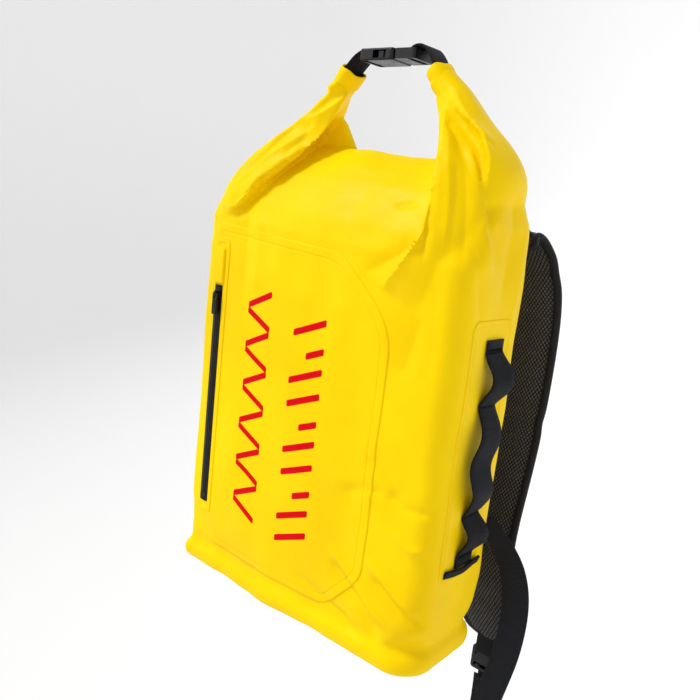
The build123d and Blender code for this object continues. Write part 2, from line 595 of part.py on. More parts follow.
def main():
    make_bag()
    make_pocket()
    make_zip()
    make_side_patches()
    make_ladders()
    make_straps()
    make_yoke()
    make_locks()
    make_adjusters()
    make_socket()
    make_plug()
    make_prongs()
    make_tethers()
    os.makedirs("parts", exist_ok=True)
    for name, shape in NODES.items():
        shape.label = name
        export_step(shape, os.path.join("parts", name + ".step"))


main()
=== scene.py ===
"""Looks of a roll-top dry bag backpack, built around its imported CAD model.

Lengths in this script are millimetres in the part's own frame; mm() turns a point into metres.
"""

import math

import bmesh
import bpy
import numpy as np
from mathutils import Matrix, Vector, noise
from mathutils.bvhtree import BVHTree


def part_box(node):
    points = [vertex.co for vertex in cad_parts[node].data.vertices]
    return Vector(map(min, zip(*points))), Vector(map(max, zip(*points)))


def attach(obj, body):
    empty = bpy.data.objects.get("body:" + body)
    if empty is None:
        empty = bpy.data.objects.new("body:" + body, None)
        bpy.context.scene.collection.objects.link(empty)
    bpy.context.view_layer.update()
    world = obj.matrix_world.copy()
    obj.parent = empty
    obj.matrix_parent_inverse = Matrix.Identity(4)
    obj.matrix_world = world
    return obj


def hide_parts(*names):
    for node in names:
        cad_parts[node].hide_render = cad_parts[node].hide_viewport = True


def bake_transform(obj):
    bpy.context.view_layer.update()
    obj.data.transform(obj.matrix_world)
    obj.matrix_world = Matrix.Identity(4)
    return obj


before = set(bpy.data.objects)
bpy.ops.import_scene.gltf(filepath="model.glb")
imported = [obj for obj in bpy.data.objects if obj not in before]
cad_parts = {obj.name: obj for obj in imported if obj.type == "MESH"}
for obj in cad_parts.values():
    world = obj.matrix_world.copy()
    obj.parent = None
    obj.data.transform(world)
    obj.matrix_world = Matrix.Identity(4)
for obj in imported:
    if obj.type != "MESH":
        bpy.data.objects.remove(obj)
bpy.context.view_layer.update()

MM = 0.001
LEFT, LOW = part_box("side_gusset_left")[0].x / MM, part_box("bottom_panel")[0].z / MM
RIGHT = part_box("side_gusset_right")[1].x / MM
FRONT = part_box("front_panel")[0].y / MM
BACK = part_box("back_panel")[1].y / MM
BODY_X = (LEFT + RIGHT) / 2
BODY_Y = (FRONT + BACK) / 2
HALF_WIDTH = (RIGHT - LEFT) / 2
WEBBING = 25.0
ZIP_X = (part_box("zip_tape")[0].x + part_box("zip_tape")[1].x) / 2 / MM


FRONT_LIFT = 0.9        # the pocket's cloth lies this far over the skin


# ---- small helpers ------------------------------------------------------------------------
def cad(node):
    """Lowest and highest corner of a CAD node, in millimetres."""
    low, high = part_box(node)
    return np.array(low) / MM, np.array(high) / MM


def mm(x, y, z):
    return Vector((x * MM, y * MM, z * MM))


def smoothstep(low, high, value):
    share = np.clip((value - low) / (high - low), 0.0, 1.0)
    return share * share * (3 - 2 * share)


def curve_points(points, count):
    """Evenly spaced points on a smooth curve (Catmull-Rom) through the given ones."""
    knots = np.array(points, float)
    before = 2 * knots[0] - knots[1]
    after = 2 * knots[-1] - knots[-2]
    padded = np.vstack([before, knots, after])
    fine = []
    for index in range(len(knots) - 1):
        p0, p1, p2, p3 = padded[index:index + 4]
        for step in range(24):
            t = step / 24
            fine.append(0.5 * (2 * p1 + (p2 - p0) * t + (2 * p0 - 5 * p1 + 4 * p2 - p3) * t ** 2
                               + (3 * p1 - p0 - 3 * p2 + p3) * t ** 3))
    fine.append(knots[-1])
    fine = np.array(fine)
    lengths = np.concatenate([[0], np.cumsum(np.linalg.norm(np.diff(fine[:, :3], axis=0), axis=1))])
    places = np.linspace(0, lengths[-1], count)
    return np.column_stack([np.interp(places, lengths, fine[:, axis]) for axis in range(fine.shape[1])])


def make_object(name, vertices, faces, smooth=True):
    """A mesh object from vertices in millimetres."""
    mesh = bpy.data.meshes.new(name)
    mesh.from_pydata([tuple(float(c) * MM for c in v) for v in vertices], [], faces)
    mesh.validate()
    mesh.update()
    obj = bpy.data.objects.new(name, mesh)
    bpy.context.scene.collection.objects.link(obj)
    if smooth:
        mesh.polygons.foreach_set("use_smooth", [True] * len(mesh.polygons))
    return obj


def ring_faces(rings, size, closed_around=True, caps=True):
    """Quads between rings of one size, with a fan of one face at each end."""
    faces = []
    last = size if closed_around else size - 1
    for ring in range(rings - 1):
        for step in range(last):
            a = ring * size + step
            b = ring * size + (step + 1) % size
            faces.append((a, b, b + size, a + size))
    if caps:
        faces.append(tuple(reversed(range(size))))
        faces.append(tuple(range((rings - 1) * size, rings * size)))
    return faces


def fix_normals(obj):
    bm = bmesh.new()
    bm.from_mesh(obj.data)
    bmesh.ops.recalc_face_normals(bm, faces=bm.faces)
    bm.to_mesh(obj.data)
    bm.free()


def apply_modifier(obj, kind, **settings):
    modifier = obj.modifiers.new(kind.lower(), kind)
    for key, value in settings.items():
        setattr(modifier, key, value)
    with bpy.context.temp_override(object=obj, active_object=obj, selected_objects=[obj]):
        bpy.ops.object.modifier_apply(modifier=modifier.name)


def coordinates(obj):
    flat = np.zeros(len(obj.data.vertices) * 3, np.float32)
    obj.data.vertices.foreach_get("co", flat)
    return flat.reshape(-1, 3).astype(float) / MM


def normals(obj):
    flat = np.zeros(len(obj.data.vertices) * 3, np.float32)
    obj.data.vertices.foreach_get("normal", flat)
    return flat.reshape(-1, 3).astype(float)


def set_coordinates(obj, points):
    obj.data.vertices.foreach_set("co", (points * MM).astype(np.float32).ravel())
    obj.data.update()


# ---- bag skin -----------------------------------------------------------------------------
RING = 128
VOXEL = 1.6
CORNER = 22.0
CORNER_SHARES = (0.9, 0.9, 0.34, 0.85)   # back right, back left, front left and front right
EAR_SHARES = (0.2, 0.3, 0.55, 0.0)
BOW = 5.0               # how far the front stands out at its middle
FRONT_EDGE = FRONT + BOW


def body_ring(z, x_low, x_high, y_front, y_back, corner, tilt=0.0, ear=0.0):
    """A rounded rectangle with a bowed front; its corners may stand out by an ear."""
    cx, cy = (x_low + x_high) / 2, (y_front + y_back) / 2
    wide, deep = (x_high - x_low) / 2, (y_back - y_front) / 2
    points = []
    for step in range(RING):
        turn = 2 * math.pi * (step + 0.5) / RING
        quarter = int(turn // (math.pi / 2))
        share = (turn - quarter * math.pi / 2) / (math.pi / 2)
        side_x, side_y = ((1, 1), (-1, 1), (-1, -1), (1, -1))[quarter]
        radius = min(corner * CORNER_SHARES[quarter], wide * 0.95, deep * 0.95)
        if quarter % 2:
            share = 1 - share
        if share < 0.25:
            x, y = wide, (deep - radius) * share / 0.25
        elif share > 0.75:
            x, y = (wide - radius) * (1 - share) / 0.25, deep
        else:
            bend = math.pi / 2 * (share - 0.25) / 0.5
            x, y = wide - radius + radius * math.cos(bend), deep - radius + radius * math.sin(bend)
        out = ear * EAR_SHARES[quarter] * math.exp(-((share - 0.5) / 0.2) ** 2)
        x, y = side_x * (x + out * 0.7), side_y * (y + out * 0.7)
        bow = BOW * max(0.0, 1 - (x / wide) ** 2) * smoothstep(0, deep, -y)
        points.append((cx + x, cy + y - float(bow), z + tilt * (x + cx - BODY_X)))
    return points


def body_volume():
    """The filled body: its welded bottom rim, its walls, and the roof over the rolled mouth."""
    rings = []
    for z, inset, corner, ear in (
            (LOW - 5, 44, 10, 0), (LOW - 4.6, 16, 22, 4), (LOW - 3.2, 6, 28, 8), (LOW + 1.0, 1.0, 33, 12),
            (LOW + 7.0, 0.0, 35, 14), (LOW + 13, 0.4, 37, 14), (LOW + 18.5, 3.2, 40, 14), (LOW + 23, 4.6, 38, 13),
            (LOW + 28, 3.6, 35, 10), (LOW + 34, 2.2, 30, 5), (LOW + 42, 1.2, 26, 0), (LOW + 66, 0, 22, 0)):
        rings.append(body_ring(z, LEFT + inset, RIGHT - inset, FRONT_EDGE + inset, BACK - inset, corner, 0, ear))
    for z in (-400, -360, -300, -250, -200, -172):
        rings.append(body_ring(z, LEFT, RIGHT, FRONT_EDGE, BACK, CORNER))
    for z, low, high, front, back, corner in (
            (-150, 0, 0, 1, 0, 22), (-132, 2, 0, 8, 0, 24), (-115, 13, 0, 17, 1, 26), (-101, 32, 3, 27, 5, 28),
            (-89, 54, 12, 38, 14, 26), (-79, 76, 36, 49, 28, 18), (-73, 92, 66, 58, 41, 12)):
        rings.append(body_ring(z, LEFT + low, RIGHT - high, FRONT_EDGE + front, BACK - back, corner, -0.05))
    vertices = [p for ring in rings for p in ring]
    return make_object("body_volume", vertices, ring_faces(len(rings), RING))


def folded_tube(name, stations, steps=34, size=56, reach=1.0):
    """A lofted tube whose section runs out to a fold edge.

    A station is a centre, half sizes across and front to back, the place of the fold edge, and how far
    the section is drawn out to it."""
    rows = curve_points(stations, steps)
    vertices = []
    for index, row in enumerate(rows):
        place, across, deep = row[:3], row[3], row[4]
        edge, pull = row[5:8], min(row[8], 1.0)
        along = rows[min(index + 1, steps - 1)][:3] - rows[max(index - 1, 0)][:3]
        along[1] = 0
        along /= np.linalg.norm(along)
        side = np.array((-along[2], 0, along[0]))
        depth = np.array((0.0, 1.0, 0.0))
        to_edge = edge - place
        middle = math.atan2(to_edge @ depth / deep, to_edge @ side / across)
        for step in range(size):
            away = 2 * math.pi * step / size
            c, s = math.cos(middle + away), math.sin(middle + away)
            base = place + side * across * math.copysign(abs(c) ** 0.9, c) \
                + depth * deep * math.copysign(abs(s) ** 0.9, s)
            gap = min(away, 2 * math.pi - away)
            draw = pull * max(0.0, 1 - gap / reach) ** 1.1
            vertices.append(tuple(base * (1 - draw) + edge * draw))
    return make_object(name, vertices, ring_faces(steps, size))


def web(name, outline, y_front, y_back):
    """A flat web of cloth between an arm and the roof."""
    count = len(outline)
    vertices = [(x, y, z) for y in (y_front, y_back) for x, z in outline]
    faces = [tuple(range(count)), tuple(reversed(range(count, 2 * count)))]
    faces += [(i, (i + 1) % count, (i + 1) % count + count, i + count) for i in range(count)]
    return make_object(name, vertices, faces)


# centre x, y, z; half size across, front to back; fold edge x, y, z; how far it is drawn to the edge
RIGHT_WRAP = [(48, 0, -13, 9.5, 13.6, 52, -12, -22, 0.2), (67, 0, -29, 10.5, 14, 70, -17, -35, 0.9),
              (87, 0, -48, 9, 17, 88, -22, -47, 1), (106, 2, -67, 9.5, 22, 106, -27, -57, 0.9),
              (116, 4, -88, 12, 30, 118, -31, -72, 0.5), (110, 4, -118, 14, 40, 122, -34, -100, 0)]
RIGHT_FLAP = [(57, 0, -26, 8, 13, 60, -12, -32, 0.6), (72, -3, -52, 12, 19, 71, -28, -48, 1),
              (88, -4, -80, 22, 32, 80, -42, -68, 1), (96, -6, -110, 26, 42, 88, -58, -102, 1),
              (100, -8, -136, 26, 47, 89, -68, -131, 1), (98, -10, -154, 26, 47, 83, -70, -147, 1),
              (92, -13, -172, 26, 46, 74, -70, -161, 1), (84, -17, -190, 24, 42, 56, -66, -178, 0.8),
              (76, -20, -206, 18, 34, 44, -58, -188, 0)]
LEFT_FRONT = [(-50, 0, -11, 9.5, 13.6, -46, -9, -24, 0.4), (-65, -3, -31, 10, 13, -50, -13, -44, 0.9),
              (-80, -9, -53, 12, 15, -60, -25, -70, 1), (-96, -20, -75, 15, 17, -77, -40, -88, 1),
              (-114, -31, -97, 17, 17, -92, -54, -104, 1), (-131, -42, -122, 17, 16, -113, -63, -128, 0.9),
              (-142, -46, -150, 13, 10, -138, -56, -148, 0)]
LEFT_BACK = [(-60, 2, -24, 8, 11, -60, 2, -24, 0), (-82, 6, -54, 13, 18, -82, 6, -54, 0),
             (-100, 8, -84, 15, 26, -102, 8, -84, 0), (-117, 6, -114, 20, 36, -118, 6, -116, 0),
             (-124, 4, -150, 24, 44, -124, 4, -150, 0)]
LEFT_WEB = [(-92, -62), (-66, -38), (-55, -50), (-43, -68), (-38, -80), (-92, -98)]
RIGHT_WEB = [(86, -62), (66, -40), (56, -58), (50, -78), (46, -88), (92, -98)]


def stroke_field(points, line, tree=None):
    """For each point: its distance to a line in space, its offset from the nearest place, and the share.

    With a tree of the surface, the line is first laid on that surface."""
    line = curve_points(line, 5 * len(line))
    if tree is not None:
        line = np.array([tuple(tree.find_nearest(Vector(p))[0]) for p in line])
    best = np.full(len(points), 1e9)
    nearest = np.zeros_like(points)
    share = np.zeros(len(points))
    for index in range(len(line) - 1):
        a, b = line[index], line[index + 1]
        step = b - a
        t = np.clip((points - a) @ step / (max(step @ step, 1e-9)), 0, 1)
        place = a + t[:, None] * step
        distance = np.linalg.norm(points - place, axis=1)
        closer = distance < best
        best[closer] = distance[closer]
        nearest[closer] = place[closer]
        share[closer] = (index + t[closer]) / (len(line) - 1)
    return best, points - nearest, share


def crease(points, normal, line, height, width, tree, ends=0.2):
    """A ridge (positive height) or valley (negative) along a line, with a sharp middle and soft flanks."""
    distance, _, share = stroke_field(points, line, tree)
    fade = smoothstep(0, ends, share) * smoothstep(0, ends, 1 - share)
    profile = 0.55 * np.exp(-distance / (width * 0.7)) + 0.45 * np.exp(-(distance / width) ** 2)
    return points + normal * (height * fade * profile)[:, None]


def fold_edge(points, normal, line, side, height, edge, spread, ends=0.2):
    """A fold that lies over its neighbour: it stands proud on one side of a line and fades out beyond."""
    distance, offset, share = stroke_field(points, line)
    signed = np.where(offset @ np.array(side, float) >= 0, distance, -distance)
    fade = smoothstep(0, ends, share) * smoothstep(0, ends, 1 - share)
    lift = smoothstep(-edge, edge, signed) * np.exp(-(np.maximum(signed, 0) / spread) ** 2)
    dip = -0.35 * smoothstep(-edge * 7, -edge, signed) * (1 - smoothstep(-edge, edge, signed))
    return points + normal * (height * fade * (lift + dip))[:, None]


FOLD_EDGES = [
    # line, raised side, height, width of its edge, how far it spreads
    ([(-36, -14, -15), (-50, -17, -29), (-64, -21, -41), (-80, -25, -50)], (0.3, 0, -1), 4.4, 2.0, 13),
    ([(-74, -2, -20), (-61, -14, -23), (-47, -15, -19)], (0, 0, 1), 2.6, 2.0, 9),
    ([(58, -15, -27), (72, -18, -38), (90, -23, -48), (106, -27, -58), (118, -28, -68)], (0.6, 0, 1), 3.0, 2.0, 13),
    ([(100, -28, -60), (116, -36, -84), (126, -36, -118), (130, -14, -165)], (-1, -0.6, 0), 3.4, 3.4, 22),
    ([(-92, -52, -106), (-112, -62, -128), (-134, -62, -142)], (-0.6, 0, 1), 3.2, 2.0, 14),
    ([(-66, -28, -74), (-84, -44, -94), (-104, -56, -116)], (-0.6, 0, 1), 2.6, 2.0, 12),
]
CREASE_DEPTH = 0.7
CREASES = [
    # line, height, width
    ([(62, -14, -14), (84, -22, -34), (104, -28, -56), (122, -30, -88)], 2.6, 3.2),
    ([(60, -18, -20), (76, -26, -42), (96, -32, -66), (112, -36, -96)], -3.2, 3.4),
    ([(56, -20, -34), (64, -34, -66), (72, -48, -96), (80, -58, -128)], 2.8, 4),
    ([(62, -20, -36), (74, -36, -66), (84, -48, -98), (92, -60, -134), (94, -64, -170)], -3.6, 4.5),
    ([(72, -24, -44), (88, -38, -76), (102, -50, -110), (108, -58, -150)], 3.0, 5),
    ([(84, -28, -54), (104, -38, -84), (116, -46, -120), (120, -50, -160)], -2.8, 5),
    ([(-48, -12, -12), (-66, -18, -32), (-88, -28, -54), (-110, -40, -82)], 2.4, 3.2),
    ([(-52, -8, -10), (-74, -12, -30), (-98, -22, -56), (-124, -36, -92)], -3.0, 3.6),
    ([(-60, -24, -50), (-80, -34, -68), (-104, -48, -90), (-130, -56, -120)], 2.8, 4),
    ([(-66, -2, -22), (-92, -8, -50), (-120, -20, -84), (-144, -30, -124)], 2.2, 4.5),
    ([(46, -62, -106), (66, -59, -100), (88, -50, -92)], -2.4, 4),
    ([(70, -56, -98), (78, -62, -124), (72, -64, -146), (54, -66, -162), (34, -66, -172)], -5.0, 8),
    ([(96, -62, -196), (92, -64, -216), (84, -66, -250)], -2.6, 8),
    ([(30, -66, -170), (50, -67, -182), (78, -66, -190)], -1.6, 8),
    ([(86, -44, -74), (96, -58, -108), (98, -68, -146), (92, -70, -170)], 2.4, 6),
    ([(96, -40, -70), (108, -52, -104), (112, -60, -150)], -2.6, 6),
    ([(104, -56, -160), (108, -58, -200), (110, -58, -250)], -1.6, 9),
    ([(-82, -18, -52), (-102, -36, -80), (-122, -50, -108)], -3.4, 4.5),
    ([(-92, -14, -54), (-112, -30, -80), (-134, -48, -116)], 2.6, 4.5),
    ([(-70, -20, -46), (-74, -30, -66), (-86, -42, -86)], -2.4, 4),
    ([(-84, -48, -96), (-104, -58, -116), (-130, -60, -134)], -6.4, 7),
    ([(-146, -40, -116), (-150, -52, -140), (-156, -56, -170)], -1.8, 6),
    ([(124, -50, -128), (128, -38, -160), (131, -22, -210)], -2.6, 7),
    ([(129, 6, -96), (131, 8, -140), (131, 2, -190)], -3.4, 8),
    ([(129, 30, -114), (131, 26, -170), (131, 20, -215)], 2.2, 9),
    ([(-60, -62, -128), (-20, -65, -136), (20, -64, -132)], 1.0, 12),
    ([(-124, -60, -150), (-96, -64, -160), (-70, -64, -158)], -1.2, 8),
    ([(-10, -66, -450), (30, -66, -464), (80, -62, -480)], -3.4, 5),
    ([(30, -66, -408), (62, -64, -430), (104, -56, -462)], 4.6, 4.5),
    ([(34, -66, -420), (62, -64, -442), (98, -58, -474)], -5.6, 7),
    ([(70, -64, -404), (96, -60, -420), (124, -46, -440)], 3.8, 4.2),
    ([(60, -64, -448), (84, -61, -460), (108, -54, -478)], 3.0, 4.2),
    ([(78, -63, -418), (100, -59, -432), (126, -40, -452)], -4.6, 5),
    ([(84, -63, -342), (104, -58, -352), (124, -46, -350)], -3.0, 4.4),
    ([(96, -60, -374), (110, -56, -384), (124, -46, -380)], 2.6, 4),
    ([(40, -66, -360), (60, -65, -348), (84, -63, -346)], -2.4, 5),
    ([(60, -65, -318), (84, -64, -330), (98, -61, -352)], -2.2, 9),
    ([(24, -67, -352), (50, -67, -344), (76, -65, -356)], 1.8, 10),
    ([(-156, -48, -430), (-146, -60, -450), (-120, -64, -464)], -3.0, 4.5),
    ([(-120, -60, -476), (-70, -64, -482), (-20, -65, -484)], -1.6, 6),
    ([(-108, -62, -130), (-104, -66, -170), (-102, -66, -220)], -3.4, 10),
    ([(-88, -62, -132), (-86, -66, -170), (-86, -66, -210)], 2.6, 10),
    ([(-62, 54, -112), (-40, 56, -150), (-30, 54, -190)], -2.4, 8),
    ([(40, 54, -104), (30, 56, -140), (24, 54, -180)], -2.4, 8),
    ([(-110, 40, -92), (-124, 50, -124), (-130, 52, -170)], -3.0, 7),
    ([(-84, 26, -68), (-104, 38, -94), (-116, 50, -130)], 2.6, 6),
    ([(92, 44, -86), (104, 52, -120), (106, 54, -170)], 3.0, 7),
    ([(76, 20, -64), (94, 34, -84), (112, 46, -112)], -3.0, 6),
    ([(-60, 10, -38), (-70, 16, -60), (-72, 30, -84)], -2.6, 5),
    ([(60, 12, -36), (68, 18, -60), (66, 32, -84)], -2.6, 5),
]


def lay_folds(skin):
    """The folds that lie over their neighbours."""
    points = coordinates(skin)
    normal = normals(skin)
    for line, side, height, edge, spread in FOLD_EDGES:
        points = fold_edge(points, normal, line, side, height, edge, spread)
    set_coordinates(skin, points)


def crease_skin(skin):
    """Creases and the slack of the cloth, away from the zip."""
    points = coordinates(skin)
    normal = normals(skin)
    tree = BVHTree.FromPolygons([Vector(p) for p in points], [tuple(q.vertices) for q in skin.data.polygons])
    for line, height, width in CREASES:
        points = crease(points, normal, line, height * CREASE_DEPTH, width, tree)
    calm = smoothstep(10, 40, np.hypot(points[:, 0] - ZIP_X, (points[:, 1] - FRONT) * 1.5))
    slack = [noise.noise(Vector(p) / 70.0) * 2.3 + noise.noise(Vector(p) / 24.0 + Vector((7, 3, 1))) * 0.6
             + noise.noise(Vector((p[0] / 30.0, p[1] / 30.0, p[2] / 120.0 + 9))) * 1.1 for p in points]
    set_coordinates(skin, points + normal * (np.array(slack) * calm)[:, None])


def make_skin():
    parts = [body_volume(), folded_tube("right_wrap", RIGHT_WRAP), folded_tube("right_flap", RIGHT_FLAP),
             folded_tube("left_front", LEFT_FRONT), folded_tube("left_back", LEFT_BACK),
             web("left_web", LEFT_WEB, 3, 12), web("right_web", RIGHT_WEB, 3, 12)]
    bm = bmesh.new()
    for part in parts:
        fix_normals(part)
        bm.from_mesh(part.data)
        bpy.data.objects.remove(part)
    mesh = bpy.data.meshes.new("bag_skin")
    bm.to_mesh(mesh)
    bm.free()
    skin = bpy.data.objects.new("bag_skin", mesh)
    bpy.context.scene.collection.objects.link(skin)
    apply_modifier(skin, "REMESH", mode="VOXEL", voxel_size=VOXEL * MM)
    apply_modifier(skin, "SMOOTH", factor=0.5, iterations=6)
    lay_folds(skin)
    apply_modifier(skin, "SMOOTH", factor=0.5, iterations=6)
    crease_skin(skin)
    apply_modifier(skin, "SMOOTH", factor=0.5, iterations=1)
    skin.data.polygons.foreach_set("use_smooth", [True] * len(skin.data.polygons))
    return skin


# ---- cloth and webbing pieces laid on the skin --------------------------------------------
CASTS = {"front": ((0, 1, 0), lambda a, b: (a, -300, b)), "back": ((0, -1, 0), lambda a, b: (a, 300, b)),
         "right": ((-1, 0, 0), lambda a, b: (400, a, b)), "left": ((1, 0, 0), lambda a, b: (-400, a, b))}


class Skin:
    """The skin's surface, for laying pieces on it."""
    def __init__(self, obj):
        polygons = [tuple(polygon.vertices) for polygon in obj.data.polygons]
        self.tree = BVHTree.FromPolygons([Vector(p) for p in coordinates(obj)], polygons)

    def place(self, view, a, b, height):
        """The point at height over the skin where a ray in this view meets it at (a, b)."""
        direction, origin = CASTS[view][0], CASTS[view][1](a, b)
        spot, normal, _, _ = self.tree.ray_cast(Vector(origin), Vector(direction))
        if spot is None:
            spot, normal, _, _ = self.tree.find_nearest(Vector(origin) + Vector(direction) * 250)
        toward = -Vector(direction)
        blend = (normal + toward).normalized()
        return spot + blend * height


def rounded_outline(corners, radii, spacing=2.0):
    """A closed outline through 2-D corners, each rounded; points evenly spaced."""
    count = len(corners)
    path = []
    for index in range(count):
        corner = Vector(corners[index])
        before = (Vector(corners[index - 1]) - corner)
        after = (Vector(corners[(index + 1) % count]) - corner)
        angle = before.angle(after)
        reach = min(radii[index] / math.tan(angle / 2), before.length * 0.49, after.length * 0.49)
        start, end = corner + before.normalized() * reach, corner + after.normalized() * reach
        for step in range(13):
            t = step / 12
            path.append(start * (1 - t) ** 2 + corner * 2 * t * (1 - t) + end * t ** 2)
    path.append(path[0])
    path = np.array([tuple(p) for p in path])
    run = np.concatenate([[0], np.cumsum(np.linalg.norm(np.diff(path, axis=0), axis=1))])
    places = np.linspace(0, run[-1], max(24, int(run[-1] / spacing)) + 1)[:-1]
    return np.column_stack([np.interp(places, run, path[:, 0]), np.interp(places, run, path[:, 1])])


def inset_outline(outline, distance):
    """The outline moved inwards."""
    ahead = np.roll(outline, -1, axis=0) - np.roll(outline, 1, axis=0)
    ahead /= np.linalg.norm(ahead, axis=1)[:, None]
    inward = np.column_stack([-ahead[:, 1], ahead[:, 0]])
    area = np.sum(outline[:, 0] * np.roll(outline[:, 1], -1) - np.roll(outline[:, 0], -1) * outline[:, 1])
    return outline + inward * distance * (1 if area > 0 else -1)


def patch(name, skin, view, outline, profile, core, spacing=3.0, hub=None):
    """A welded patch: rings at given insets and heights from its outline, then a filled middle."""
    rings = [(inset_outline(outline, inset), height) for inset, height in profile]
    inner = rings[-1][0]
    centre = inner.mean(axis=0) if hub is None else np.array(hub, float)
    reach = np.max(np.linalg.norm(inner - centre, axis=1))
    steps = max(3, int(reach / spacing))
    for step in range(1, steps):
        share = step / steps
        rings.append((inner * (1 - share) + centre * share, core))
    count = len(outline)
    vertices = []
    for ring, height in rings:
        vertices += [skin.place(view, a, b, height) for a, b in ring]
    vertices.append(skin.place(view, centre[0], centre[1], core))
    faces = ring_faces(len(rings), count, caps=False)
    last = (len(rings) - 1) * count
    faces += [(last + i, last + (i + 1) % count, len(vertices) - 1) for i in range(count)]
    obj = make_object(name, vertices, faces)
    face_outwards(obj, CASTS[view][0])
    return obj


def face_outwards(obj, direction):
    """Turn all faces of an open sheet against a direction."""
    mesh = obj.data
    total = Vector((0, 0, 0))
    for polygon in mesh.polygons:
        total += polygon.normal * polygon.area
    if total.dot(Vector(direction)) > 0:
        mesh.flip_normals()


WELD = [(0, -0.3), (0.25, 0.35), (0.8, 0.85), (1.6, 0.95), (6.6, 0.95), (7.4, 0.8), (8.0, 0.35), (8.6, 0.75), (9.4, 0.85),
        (11, 0.7)]
NARROW_WELD = [(0, -0.3), (0.25, 0.3), (0.7, 0.8), (1.4, 0.9), (3.6, 0.9), (4.2, 0.45), (4.8, 0.8), (5.6, 0.8)]
PLAIN_EDGE = [(0, -0.3), (0.25, 0.4), (0.8, 1.0), (1.6, 1.1)]


def ride(piece, body, slot, *nodes):
    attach(piece, body)
    if nodes:
        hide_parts(*nodes)


def ribbon(name, path, across, width, thickness, profile=None):
    """A band along a path; across is its width direction at each point of the path."""
    path = np.array(path, float)
    across = np.array(across, float)
    if across.ndim == 1:
        across = np.tile(across, (len(path), 1))
    along = np.gradient(path, axis=0)
    along /= np.linalg.norm(along, axis=1)[:, None]
    across = across - along * np.sum(across * along, axis=1)[:, None]
    across /= np.linalg.norm(across, axis=1)[:, None]
    up = np.cross(along, across)
    run = np.concatenate([[0], np.cumsum(np.linalg.norm(np.diff(path, axis=0), axis=1))])
    half, rise = width / 2, thickness / 2
    section = [(-half, -rise * 0.45), (-half + 0.5, -rise), (-half * 0.5, -rise), (0, -rise), (half * 0.5, -rise),
               (half - 0.5, -rise), (half, -rise * 0.45), (half, rise * 0.45), (half - 0.5, rise), (half * 0.5, rise),
               (0, rise), (-half * 0.5, rise), (-half + 0.5, rise), (-half, rise * 0.45)]
    vertices, marks = [], []
    for index in range(len(path)):
        scale = 1.0 if profile is None else profile[index]
        for u, v in section:
            vertices.append(path[index] + across[index] * u * scale + up[index] * v)
            marks.append((u / 100, run[index] / 100))
    obj = make_object(name, vertices, ring_faces(len(path), len(section)))
    set_marks(obj, marks)
    fix_normals(obj)
    return obj


def set_marks(obj, marks):
    """Write a UV map from one mark for each vertex; one unit is 100 mm."""
    layer = obj.data.uv_layers.new(name="length")
    for loop in obj.data.loops:
        layer.data[loop.index].uv = marks[loop.vertex_index]


def tube(name, path, radius, sides=8, closed=False, flat=1.0, across=None):
    """A round or flattened cord along a path."""
    path = np.array(path, float)
    along = np.gradient(path, axis=0)
    if closed:
        along = np.roll(path, -1, axis=0) - np.roll(path, 1, axis=0)
    along /= np.linalg.norm(along, axis=1)[:, None]
    guide = np.array(across if across is not None else (0.3, 0.2, 1.0), float)
    if guide.ndim == 1:
        guide = np.tile(guide, (len(path), 1))
    first = guide - along * np.sum(guide * along, axis=1)[:, None]
    first /= np.linalg.norm(first, axis=1)[:, None]
    second = np.cross(along, first)
    run = np.concatenate([[0], np.cumsum(np.linalg.norm(np.diff(path, axis=0), axis=1))])
    vertices, marks = [], []
    for index in range(len(path)):
        for step in range(sides):
            turn = 2 * math.pi * step / sides
            vertices.append(path[index] + first[index] * radius * math.cos(turn)
                            + second[index] * radius * flat * math.sin(turn))
            marks.append((step / sides * radius * 0.06, run[index] / 100))
    faces = ring_faces(len(path), sides, caps=not closed)
    if closed:
        last = (len(path) - 1) * sides
        faces += [(last + s, last + (s + 1) % sides, (s + 1) % sides, s) for s in range(sides)]
    obj = make_object(name, vertices, faces)
    set_marks(obj, marks)
    fix_normals(obj)
    return obj


def join(name, parts):
    """One object from several, keeping their UV marks and material slots by name."""
    with bpy.context.temp_override(active_object=parts[0], selected_editable_objects=parts, selected_objects=parts):
        bpy.ops.object.join()
    parts[0].name = name
    parts[0].data.name = name
    return parts[0]


def bartack(name, centre, across, down, width=21.0, height=3.2):
    """A dense zigzag of thread, as one bent cord."""
    centre, across, down = (np.array(v, float) for v in (centre, across, down))
    turns = 15
    path = []
    for step in range(2 * turns + 1):
        u = -width / 2 + width * step / (2 * turns)
        v = height / 2 if step % 2 else -height / 2
        path.append(centre + across * u + down * v)
    return tube(name, path, 0.42, sides=6, across=np.cross(across, down))


def both_sides(make, name, *arguments):
    """Make a piece for the right side and mirror it to the left one."""
    right = make(name + "_right", *arguments)
    left = right.copy()
    left.data = right.data.copy()
    left.name = name + "_left"
    left.data.name = left.name
    bpy.context.scene.collection.objects.link(left)
    points = coordinates(left)
    points[:, 0] = 2 * BODY_X - points[:, 0]
    set_coordinates(left, points)
    left.data.flip_normals()
    return right, left


# ---- pocket, zip and marks ----------------------------------------------------------------
def make_pocket(skin):
    low, high = cad("pocket_panel")
    left, right, bottom, top = low[0], high[0], low[2], high[2]
    corners = [(left, bottom + 22), (left, top + 8), (right - 56, top - 2), (right, top - 52), (right, bottom + 44),
               (right - 40, bottom), (left + 22, bottom)]
    outline = rounded_outline(corners, (20, 14, 60, 60, 34, 34, 20), 2.2)
    piece = patch("pocket_cloth", skin, "front", outline, WELD, 0.7, 4.0)
    piece.data.materials.append(MATERIALS["tarpaulin"])
    ride(piece, "bag", "tarpaulin", "pocket_panel")


